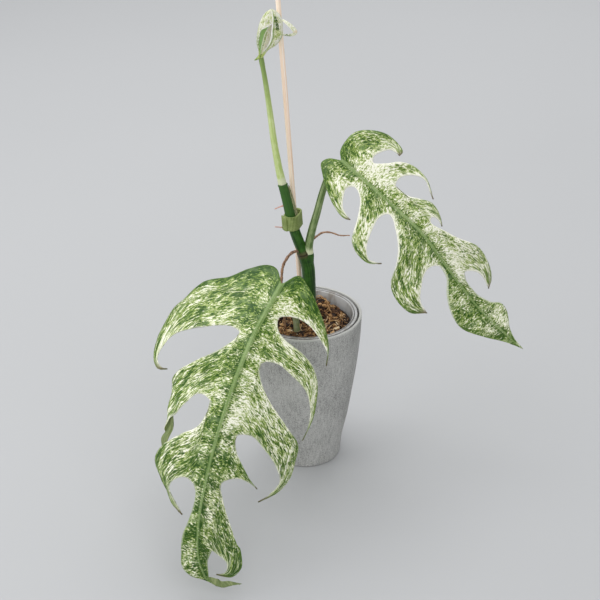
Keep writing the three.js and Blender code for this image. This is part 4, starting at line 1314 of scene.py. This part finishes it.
def stake_piece(name, material):
    """A plain round stick with lightly broken edges, leaning as it is pushed in."""
    foot, head = Vector(STAKE[0]) * MM, Vector(STAKE[1]) * MM
    lean = Vector((0, 0, 1)).rotation_difference(head - foot).to_euler()
    bpy.ops.object.select_all(action="DESELECT")
    bpy.ops.mesh.primitive_cylinder_add(
        vertices=40, radius=STAKE_RADIUS * MM, depth=(head - foot).length, location=(foot + head) / 2, rotation=lean,
    )
    piece = bpy.context.object
    piece.name = piece.data.name = name
    bpy.ops.object.transform_apply(location=True, rotation=True, scale=True)
    modify(piece, "BEVEL", width=0.4 * MM, segments=3, limit_method="ANGLE", angle_limit=BEVEL_ANGLE)
    piece.data.materials.append(material)
    bpy.ops.object.shade_smooth_by_angle(angle=SMOOTH_ANGLE)
    return piece


def new_blade(name, materials, rows=96, turns=110):
    """The newest leaf: a cup still half rolled, whose margins close over each other at the top."""
    hoops = Curve([[z, x, w, d] for z, x, w, d in NEW_LEAF_HOOPS])
    hoop = hoops.at(np.linspace(0, hoops.length, rows + 1))
    height, middle, width, depth = [hoop[:, i][:, None] for i in range(4)]
    closing = ease(height, 437, 446)
    left = NEW_LEAF_MARGINS[0] + 1.15 * closing
    angle = left + (NEW_LEAF_MARGINS[1] - left) * np.linspace(0, 1, turns + 1)[None]
    frill = 0.4 * np.sin(height * 0.9) * ease(np.abs(angle - 1.3), 2.2, 2.9)
    lap = 0.9 * closing * ease(angle, 4.0, 4.6)
    rib = 0.6 * bell(angle - 2.1, 0.2) * ease(height, 414, 424) * ease(height, 446, 440)
    x = middle + (width + frill - lap) * np.cos(angle)
    y = NEW_LEAF_MIDDLE_Y + (depth + frill - lap) * np.sin(angle) - rib
    grid = {"points": joined(x, y, height), "map": joined(angle, height), "flip": True}
    piece = grid_piece(name, [grid], materials)
    modify(piece, "SOLIDIFY", thickness=0.7 * MM, offset=0, material_offset=1, use_rim=True)
    return piece


def lobe_loop(name, material, steps=80, sides=16):
    """The narrow free lobe that loops out to the right of the newest leaf, as a curling ribbon."""
    curve = Curve(NEW_LEAF_LOBE)
    reach = np.linspace(0, curve.length, steps + 1)
    along = curve.along(reach)
    share = reach / curve.length
    lean = (0.75 + 0.35 * np.sin(3 * share))[:, None]
    level = np.cross(along, [0.0, 1.0, 0.0])
    across = unit(level * np.sin(lean) + np.array([0.0, 1.0, 0.0]) * np.cos(lean))
    over = np.cross(along, across)
    angle = np.linspace(0, TAU, sides + 1)[None, :, None]
    wide = 2.0 * np.sin(np.pi * np.clip(share * 0.86 + 0.1, 0, 1)) ** 0.6
    points = curve.at(reach)[:, None] + across[:, None] * wide[:, None, None] * np.cos(angle)
    points = points + over[:, None] * 0.42 * np.sin(angle)
    ends = [points[:1] * 0 + curve.at(end) for end in (0, curve.length)]
    laid = joined(reach[[0, *range(steps + 1), steps]][:, None], angle[..., 0] / TAU)
    return grid_piece(name, [{"points": np.concatenate([ends[0], points, ends[1]]), "map": laid}], [material])


def node_reaches():
    """How far along the stem its nodes are."""
    curve = Curve(STEM_PATH)
    return [float(np.interp(height, curve.points[:, 2], curve.reach)) for height in STEM_NODES]


def stem_radius(reach, angle, length):
    """Stout up to the upper node, slimmer above, with ring scars and soft ridges."""
    lower, upper = node_reaches()
    foot, waist, top = STEM_RADII
    above = waist + (top - waist) * np.clip((reach - upper) / (length - upper), 0, 1)
    radius = foot + (above - foot) * ease(reach, upper - 3, upper + 5)
    for node in (lower, upper):
        off = reach - node - 1.4 * np.sin(angle + 0.8)
        radius = radius + 0.5 * bell(off, 3.5) + 0.35 * bell(off, 0.9)
    ridges = 0.16 * np.sin(3 * angle + 0.03 * reach) + 0.09 * np.sin(7 * angle - 0.05 * reach)
    return radius + ridges + 0.35 * ease(reach, length - 2, length - 0.5)


def shoulder_radius(reach, angle, length):
    """The stem's thick rim round the foot of the right leaf's stalk."""
    low, high = SHOULDER_RADII
    return low + (high - low) * reach / length - 0.5 * ease(reach, length - 2.5, length) + 0.1 * np.sin(5 * angle)


def bract_radius(reach, angle, length):
    """A thin dry sheath that ends in a point."""
    return 1.9 * np.sqrt(np.clip(1 - (reach / length) ** 2.2, 0.01, 1)) * (0.55 + 0.45 * np.abs(np.cos(angle)))


def spur_radius(reach, angle, length):
    """A small pointed bract."""
    return 1.5 * np.sqrt(np.clip(1 - (reach / length) ** 1.5, 0.004, 1)) + 0 * angle


def stalk_piece(name, stalk, material, shape):
    """A petiole: tapered, with a swollen collar at its foot and a shallow groove along one line of it."""
    foot, tip = stalk["radii"]
    sheath = shape.sheath

    def radius(reach, angle, length):
        taper = foot + (tip - foot) * reach / length
        swell = shape.collar * bell(reach, 9) + 0.35 * ease(reach, length - 16, length - 4)
        channel = shape.groove * bell(angle - shape.line, 0.16) * ease(reach, 6, 16)
        whole = taper + swell - channel + 0.05 * np.sin(5 * angle + 0.02 * reach)
        if not sheath:
            return whole
        held = 1 - ease(reach, sheath - 1.2, sheath)
        return whole * (1 - 0.25 * held + 0.22 * (1 - held) * bell(reach - sheath, 5))

    return tube(name, stalk["path"], radius, material, sides=40, spacing=1)


def root_piece(name, root, material, seed):
    """An aerial root: wiry, a little knotted, and rounded at its tip."""
    foot, tip = root["radii"]

    def radius(reach, angle, length):
        left = np.clip((length - reach) / (2 * tip), 0, 1)
        taper = (foot + (tip - foot) * reach / length) * np.sqrt(np.maximum(1 - (1 - left) ** 2, 1e-6))
        knots = 0.1 * np.sin(reach * 0.9 + seed) + 0.07 * np.sin(reach * 2.3 + 2 * seed)
        return np.maximum(taper * (1 + knots + 0.05 * np.sin(3 * angle + reach)), 0.02)

    return tube(name, root["path"], radius, material, sides=16, spacing=0.5)


def floor_piece(name, material):
    """A wide round floor that rises softly at its far edge."""
    width, height = FLOOR_EDGE
    radii = np.concatenate([np.linspace(0, FLOOR_FLAT, 12), FLOOR_FLAT + np.linspace(0.1, width, 24)])[:, None]
    angle = np.linspace(0, TAU, 97)[None]
    rise = height * np.clip((radii - FLOOR_FLAT) / width, 0, 1) ** 2.2
    points = joined(radii * np.cos(angle), radii * np.sin(angle), rise) / MM
    return grid_piece(name, [{"points": points, "map": np.zeros((1, 1, 2)), "flip": True}], [material])


def soft_light(name, place, target, size, power):
    """A square area light that looks at its target."""
    light = bpy.data.objects.new(name, bpy.data.lights.new(name, "AREA"))
    light.data.size = size
    light.data.energy = power
    light.location = place
    light.rotation_euler = (Vector(target) - Vector(place)).to_track_quat("-Z", "Y").to_euler()
    bpy.context.scene.collection.objects.link(light)


def colour(name, description, red, green, blue):
    """A colour setting, given by its screen values."""
    return FloatVectorProperty(
        name=name, description=description, subtype="COLOR", size=3, min=0, max=1, default=tone(red, green, blue),
    )


def power(name, description, default):
    """The power of a light."""
    return FloatProperty(name=name, description=description, default=default, min=0, unit="POWER")


def look_of(settings):
    """The settings of one group by name, with colours as plain tuples."""
    look = SimpleNamespace()
    for name in settings.bl_rna.properties.keys():
        if name not in ("rna_type", "name"):
            value = getattr(settings, name)
            setattr(look, name, value if isinstance(value, (int, float)) else tuple(value))
    return look


class PotSettings(bpy.types.PropertyGroup):
    steps: IntProperty(name="Steps", description="Segments round the pots' axis", default=144, min=24, max=256)
    grey: colour("Grey", "Middle tone of the cachepot", 176, 176, 173)
    dark: colour("Dark", "Dark streaks of the cachepot", 128, 127, 124)
    # Light also gives the painted highlight along the cachepot's rim
    light: colour("Light", "Light streaks and the worn rim", 200, 200, 196)
    # Pore is painted shade in the small pores of the wall
    pore_shade: colour("Pore", "Small pores in the wall", 92, 90, 86)
    clear: colour("Clear", "Clean clear plastic of the growing pot", 240, 240, 240)
    cloud: colour("Cloud", "Clouded, wet plastic of the growing pot", 132, 120, 104)
    # Step is painted shade on the growing pot's stepped rim
    step: colour("Step", "Dark lines where the rim of the growing pot is stepped", 66, 64, 60)


class SubstrateSettings(bpy.types.PropertyGroup):
    chips: IntProperty(name="Chips", description="Bark chips on the substrate", default=420, min=0, max=2000)
    strands: IntProperty(name="Fibres", description="Loose coir fibres", default=360, min=0, max=2000)
    seed: IntProperty(name="Seed", description="Start of the random draws", default=7, min=0)
    dark: colour("Dark", "Wet bark", 38, 22, 12)
    brown: colour("Brown", "Coir", 112, 74, 40)
    tan: colour("Tan", "Dry coir", 196, 152, 98)
    pale: colour("Pale", "Pale dry bits", 240, 228, 196)


class StemSettings(bpy.types.PropertyGroup):
    dark: colour("Dark", "Old bark of the stem", 22, 58, 8)
    mid: colour("Middle", "Lines of the stem", 56, 100, 30)
    fresh: colour("Fresh", "Younger, upper part of the stem", 66, 104, 54)
    # Scar and seam are the nodes' dry rings and joints, darkened further as painted shade of the fork
    scar_and_shade: colour("Scar", "Dry ring of a leaf scar", 78, 70, 42)
    seam: colour("Seam", "Dark line of a node", 40, 34, 20)
    lower: colour("Lower stalk", "Stalk of the lower leaf", 204, 212, 178)
    lower_dark: colour("Lower stalk line", "Its darker lines", 150, 168, 112)
    right: colour("Right stalk", "Stalk of the right leaf", 156, 172, 122)
    right_dark: colour("Right stalk line", "Its darker lines", 86, 114, 56)
    new: colour("New stalk", "Stalk of the newest leaf", 212, 222, 166)
    new_dark: colour("New stalk line", "Its darker lines", 176, 198, 112)
    collar: colour("Collar", "Pale foot of a stalk", 214, 220, 182)
    # Edge is painted shade along the groove of a stalk
    edge: colour("Edge", "Dark line along a stalk", 30, 48, 20)
    root: colour("Root", "Old, dry root", 84, 66, 50)
    root_light: colour("Root light", "Younger root", 194, 150, 120)
    bud: colour("Bud", "Fresh root tip", 214, 160, 148)
    bract: colour("Bract", "Dry bract against the stem", 84, 96, 56)
    bract_light: colour("Bract light", "Pale parts of the bract", 160, 158, 118)


class LeafSettings(bpy.types.PropertyGroup):
    lower_cream: FloatProperty(
        name="Lower cream", description="More cream on the lower leaf", default=-0.010, subtype="FACTOR",
        min=-0.5, max=0.5,
    )
    right_cream: FloatProperty(
        name="Right cream", description="More cream on the right leaf", default=-0.004, subtype="FACTOR",
        min=-0.5, max=0.5,
    )
    cream: colour("Cream", "Uncoloured leaf", 250, 249, 232)
    cream_green: colour("Pale green", "Cream with a breath of green", 206, 213, 160)
    mid: colour("Green", "Middle green of the leaf", 100, 132, 44)
    dark: colour("Dark green", "Darkest green of the leaf", 38, 76, 8)
    wax: colour("Waxy green", "Bluish waxy green", 132, 156, 104)
    fresh: colour("Fresh green", "Yellowish green", 152, 171, 84)
    rib: colour("Rib", "Midrib", 106, 134, 66)
    rib_light: colour("Rib light", "Lighter lines of the midrib", 150, 172, 114)
    back: colour("Back", "Underside", 112, 128, 74)
    back_light: colour("Back light", "Pale parts of the underside", 162, 172, 116)
    base: colour("Base", "Yellowish foot of the newest leaf", 176, 192, 112)
    rib_deep: colour("Deep rib", "Dark rib inside the newest leaf", 150, 186, 122)
    thread: colour("Thread", "Dry tips", 120, 106, 84)
    dry: colour("Dry", "Dry patch in the newest leaf", 255, 250, 236)
    dry_line: colour("Dry line", "Its darker lines", 236, 222, 190)


class SupportSettings(bpy.types.PropertyGroup):
    wood: colour("Wood", "Stake", 255, 236, 218)
    wood_dark: colour("Wood dark", "Grain of the stake", 246, 210, 180)
    wood_light: colour("Wood light", "Pale grain of the stake", 255, 248, 236)
    band: colour("Band", "Webbing of the tie", 142, 160, 88)
    # Band dark is partly painted shade in the gaps, and band light is partly a painted highlight on the raised
    # threads
    band_dark: colour("Band dark", "Gaps in the webbing", 84, 104, 46)
    band_light: colour("Band light", "Raised threads of the webbing", 172, 186, 124)
    pitch: FloatProperty(
        name="Rib pitch", description="Distance between the ribs of the webbing", default=1.25 * MM, unit="LENGTH",
        min=0.5 * MM, max=5 * MM,
    )


class StageSettings(bpy.types.PropertyGroup):
    paper: colour("Paper", "Floor", 190, 191, 192)
    lens: FloatProperty(
        name="Lens", description="Focal length of the camera", default=85, min=20, max=200, unit="CAMERA",
    )
    key: power("Key", "Power of the main soft light", 24)
    fill: power("Fill", "Power of the fill light", 10)
    side: power("Side", "Power of the light from the left", 8)
    back: power("Back", "Power of the light on the far floor", 5)
    sky: FloatProperty(name="Sky", description="Strength of the even light all round", default=0.6, min=0)


# Each stalk's collar, its groove's depth, the groove's angle and how dark the painted shade along it is, the reach
# of the pale foot, the span over which the head's tone comes in, and the length held in the stem's sheath
STALK_SHAPES = {
    "petiole_lower": SimpleNamespace(
        collar=0.4, groove=0.3, line=2.5, strength=0.6, foot=3, head=(60, 100), sheath=0,
    ),
    "petiole_right": SimpleNamespace(
        collar=0, groove=0.6, line=0.42, strength=1, foot=17, head=(120, 160), sheath=7.5,
    ),
    "petiole_new": SimpleNamespace(
        collar=0.4, groove=0.3, line=2.9, strength=0.15, foot=8, head=(58, 118), sheath=0,
    ),
}


class AROID_OT_cachepot(bpy.types.Operator):
    """Makes the grey outer pot"""

    bl_idname = "aroid.cachepot"
    bl_label = "Cachepot"

    def execute(self, context):
        pot = context.scene.aroid_pots
        piece = spun_piece("cachepot_cast", cachepot_outline(), pot_concrete("Cast grey", look_of(pot)), pot.steps)
        settle(piece, "cachepot", "cachepot")
        return {"FINISHED"}


class AROID_OT_nursery_pot(bpy.types.Operator):
    """Makes the clear growing pot that stands in the cachepot"""

    bl_idname = "aroid.nursery_pot"
    bl_label = "Nursery pot"

    def execute(self, context):
        pot = context.scene.aroid_pots
        plastic = clear_plastic("Clear plastic", look_of(pot))
        piece = spun_piece("nursery_pot_clear", nursery_outline(), plastic, pot.steps)
        turns = [TAU * i / DRAIN_COUNT for i in range(DRAIN_COUNT)]
        places = [(DRAIN_CIRCLE * math.cos(t), DRAIN_CIRCLE * math.sin(t), NURSERY_FOOT[1]) for t in turns]
        drill(piece, places, DRAIN_RADIUS, DRAIN_DEPTH)
        settle(piece, "nursery_pot", "nursery_pot")
        return {"FINISHED"}


class AROID_OT_substrate(bpy.types.Operator):
    """Fills the growing pot with coir and bark"""

    bl_idname = "aroid.substrate"
    bl_label = "Substrate"

    def execute(self, context):
        mix = context.scene.aroid_substrate
        finish = loose_fibre("Coir and bark", look_of(mix))
        settle(soil_bed("substrate_bed", finish), "substrate", "substrate")
        settle(bark_bits("substrate_bark", mix.chips, (2.2, 9), mix.seed, finish, 0.9), "substrate")
        settle(bark_bits("substrate_crumbs", mix.chips * 2, (0.8, 2.6), mix.seed + 1, finish, 1), "substrate")
        settle(coir_strands("substrate_fibres", mix.strands, mix.seed + 2, finish), "substrate")
        return {"FINISHED"}


class AROID_OT_stem(bpy.types.Operator):
    """Grows the stem, its bract and the leaf stalks"""

    bl_idname = "aroid.stem"
    bl_label = "Stem and stalks"

    def execute(self, context):
        look = look_of(context.scene.aroid_stem)
        bark = stem_skin("Stem bark", look, node_reaches())
        settle(tube("stem_bark", STEM_PATH, stem_radius, bark, sides=48, spacing=0.8), "stem", "stem")
        bark = stem_skin("Shoulder bark", look, SHOULDER_NODES)
        settle(tube("stem_shoulder", SHOULDER_PATH, shoulder_radius, bark, sides=40, spacing=0.6), "stem")
        dry = plain_skin("Dry bract", look.bract, look.bract_light)
        settle(tube("stem_bract", SHEATH_PATH, bract_radius, dry, sides=24, spacing=0.6), "stem")
        for name, shape in STALK_SHAPES.items():
            kind = name.removeprefix("petiole_")
            tones = SimpleNamespace(
                light=getattr(look, kind), dark=getattr(look, kind + "_dark"), foot=look.collar, line=look.edge,
                head=look.fresh,
            )
            skin = stalk_skin("Skin of " + name, tones, shape)
            settle(stalk_piece(name + "_stalk", PETIOLES[name], skin, shape), "petiole", name)
        return {"FINISHED"}


class AROID_OT_roots(bpy.types.Operator):
    """Grows the aerial roots and the root buds"""

    bl_idname = "aroid.roots"
    bl_label = "Aerial roots"

    def execute(self, context):
        look = look_of(context.scene.aroid_stem)
        for seed, (name, root) in enumerate(ROOTS.items()):
            bud = "bud" in name
            length = Curve(root["path"]).length
            light, dark = (look.bud, look.root_light) if bud else (look.root_light, look.root)
            skin = root_skin("Skin of " + name, light, dark, length)
            settle(root_piece(name + "_skin", root, skin, seed), "root_bud" if bud else "root", name)
        return {"FINISHED"}


class AROID_OT_support(bpy.types.Operator):
    """Sets the stake and ties the stem to it"""

    bl_idname = "aroid.support"
    bl_label = "Stake and tie"

    def execute(self, context):
        support = context.scene.aroid_support
        look = look_of(support)
        settle(stake_piece("stake_stick", pale_wood("Bare wood", look)), "stake", "stake")
        webbing = woven_band("Webbing", look, support.pitch / MM)
        ring = band_outline(TIE_THICKNESS / 2)
        settle(band_piece("tie_band", ring, webbing, TIE_THICKNESS), "tie", "tie")
        tail = Curve(TIE_TAIL).at(np.linspace(0, TIE_TAIL_LENGTH, 17))
        settle(band_piece("tie_tail", tail, webbing, TIE_TAIL_THICKNESS), "tie")
        return {"FINISHED"}


class AROID_OT_leaves(bpy.types.Operator):
    """Grows the two big lobed leaves"""

    bl_idname = "aroid.leaves"
    bl_label = "Big leaves"

    def execute(self, context):
        look = look_of(context.scene.aroid_leaves)
        lower = SimpleNamespace(
            **vars(look), cream_share=look.lower_cream, patchiness=0.29, right_half=0.017, base_green=0.014,
            tail_green=0.034, tail_turn=0.024, tail_contrast=0.45, bay_white=0.45, bay_width=0.8, rim_green=0.5,
            rib_width=2.3, rib_taper=1.85, roughness=0.42,
        )
        right = SimpleNamespace(
            **vars(look), cream_share=look.right_cream, patchiness=0.28, right_half=0.02, base_green=-0.012,
            tail_green=0.012, tail_turn=0, tail_contrast=0.25, bay_white=0.95, bay_width=1.1, rim_green=0.5,
            rib_width=1.6, rib_taper=1, roughness=0.42,
        )
        for name, leaf, face in (("leaf_lower", LOWER_LEAF, lower), ("leaf_right", RIGHT_LEAF, right)):
            sides = [leaf_face("Face of " + name, face), leaf_back("Back of " + name, face)]
            settle(leaf_piece(name + "_blade", leaf, sides), "leaf", name)
        return {"FINISHED"}


class AROID_OT_new_leaf(bpy.types.Operator):
    """Grows the newest leaf, which is still half rolled"""

    bl_idname = "aroid.new_leaf"
    bl_label = "Newest leaf"

    def execute(self, context):
        look = look_of(context.scene.aroid_leaves)
        sides = [cup_skin("Outside of leaf_new", look, False), cup_skin("Inside of leaf_new", look, True)]
        settle(new_blade("leaf_new_cup", sides), "new_leaf", "leaf_new")
        settle(lobe_loop("leaf_new_lobe", lobe_skin("Lobe of leaf_new", look)), "new_leaf")
        skin = plain_skin("Spur of leaf_new", look.base, look.mid)
        settle(tube("leaf_new_spur", SPUR_PATH, spur_radius, skin, sides=16, spacing=0.4), "new_leaf")
        return {"FINISHED"}


class AROID_OT_stage(bpy.types.Operator):
    """Sets the pale floor, the soft lights and the camera"""

    bl_idname = "aroid.stage"
    bl_label = "Stage"

    def execute(self, context):
        scene = context.scene
        stage = scene.aroid_stage
        floor_piece("studio_floor", studio_paper("Studio paper", tuple(stage.paper)))
        for name, (place, target, size) in LIGHTS.items():
            soft_light(name.capitalize(), place, target, size, getattr(stage, name))
        world = bpy.data.worlds.new("Studio air")
        world.use_nodes = True
        air = world.node_tree.nodes["Background"]
        air.inputs["Color"].default_value = (*tone(*AIR), 1)
        air.inputs["Strength"].default_value = stage.sky
        scene.world = world
        camera = bpy.data.objects.new("Camera", bpy.data.cameras.new("Camera"))
        camera.data.lens = stage.lens
        camera.data.sensor_width = CAMERA_SENSOR
        camera.location = CAMERA_PLACE
        camera.rotation_euler = (math.radians(CAMERA_PITCH), 0, 0)
        scene.collection.objects.link(camera)
        scene.camera = camera
        scene.view_settings.view_transform = "Standard"
        return {"FINISHED"}


class VIEW3D_PT_aroid(bpy.types.Panel):
    """Lists the pieces and their settings"""

    bl_label = "Potted aroid"
    bl_idname = "VIEW3D_PT_aroid"
    bl_space_type = "VIEW_3D"
    bl_region_type = "UI"
    bl_category = "Aroid"

    def draw(self, context):
        for kind in OPERATORS:
            self.layout.operator(kind.bl_idname)
        for group in SETTINGS:
            settings = getattr(context.scene, group)
            box = self.layout.box()
            for name in vars(look_of(settings)):
                box.prop(settings, name)


SETTINGS = {
    "aroid_pots": PotSettings,
    "aroid_substrate": SubstrateSettings,
    "aroid_stem": StemSettings,
    "aroid_leaves": LeafSettings,
    "aroid_support": SupportSettings,
    "aroid_stage": StageSettings,
}
OPERATORS = [
    AROID_OT_stage, AROID_OT_cachepot, AROID_OT_nursery_pot, AROID_OT_substrate, AROID_OT_stem, AROID_OT_roots,
    AROID_OT_support, AROID_OT_leaves, AROID_OT_new_leaf,
]
CLASSES = [*SETTINGS.values(), *OPERATORS, VIEW3D_PT_aroid]


def register():
    """Adds the settings, the operators and the panel."""
    for part in CLASSES:
        bpy.utils.register_class(part)
    for name, group in SETTINGS.items():
        setattr(bpy.types.Scene, name, PointerProperty(type=group))


def unregister():
    """Takes them away again."""
    for name in SETTINGS:
        delattr(bpy.types.Scene, name)
    for part in reversed(CLASSES):
        bpy.utils.unregister_class(part)


def main():
    """Makes all the pieces."""
    register()
    bpy.ops.aroid.stage()
    bpy.ops.aroid.cachepot()
    bpy.ops.aroid.nursery_pot()
    bpy.ops.aroid.substrate()
    bpy.ops.aroid.stem()
    bpy.ops.aroid.roots()
    bpy.ops.aroid.support()
    bpy.ops.aroid.leaves()
    bpy.ops.aroid.new_leaf()


if __name__ == "__main__":
    main()
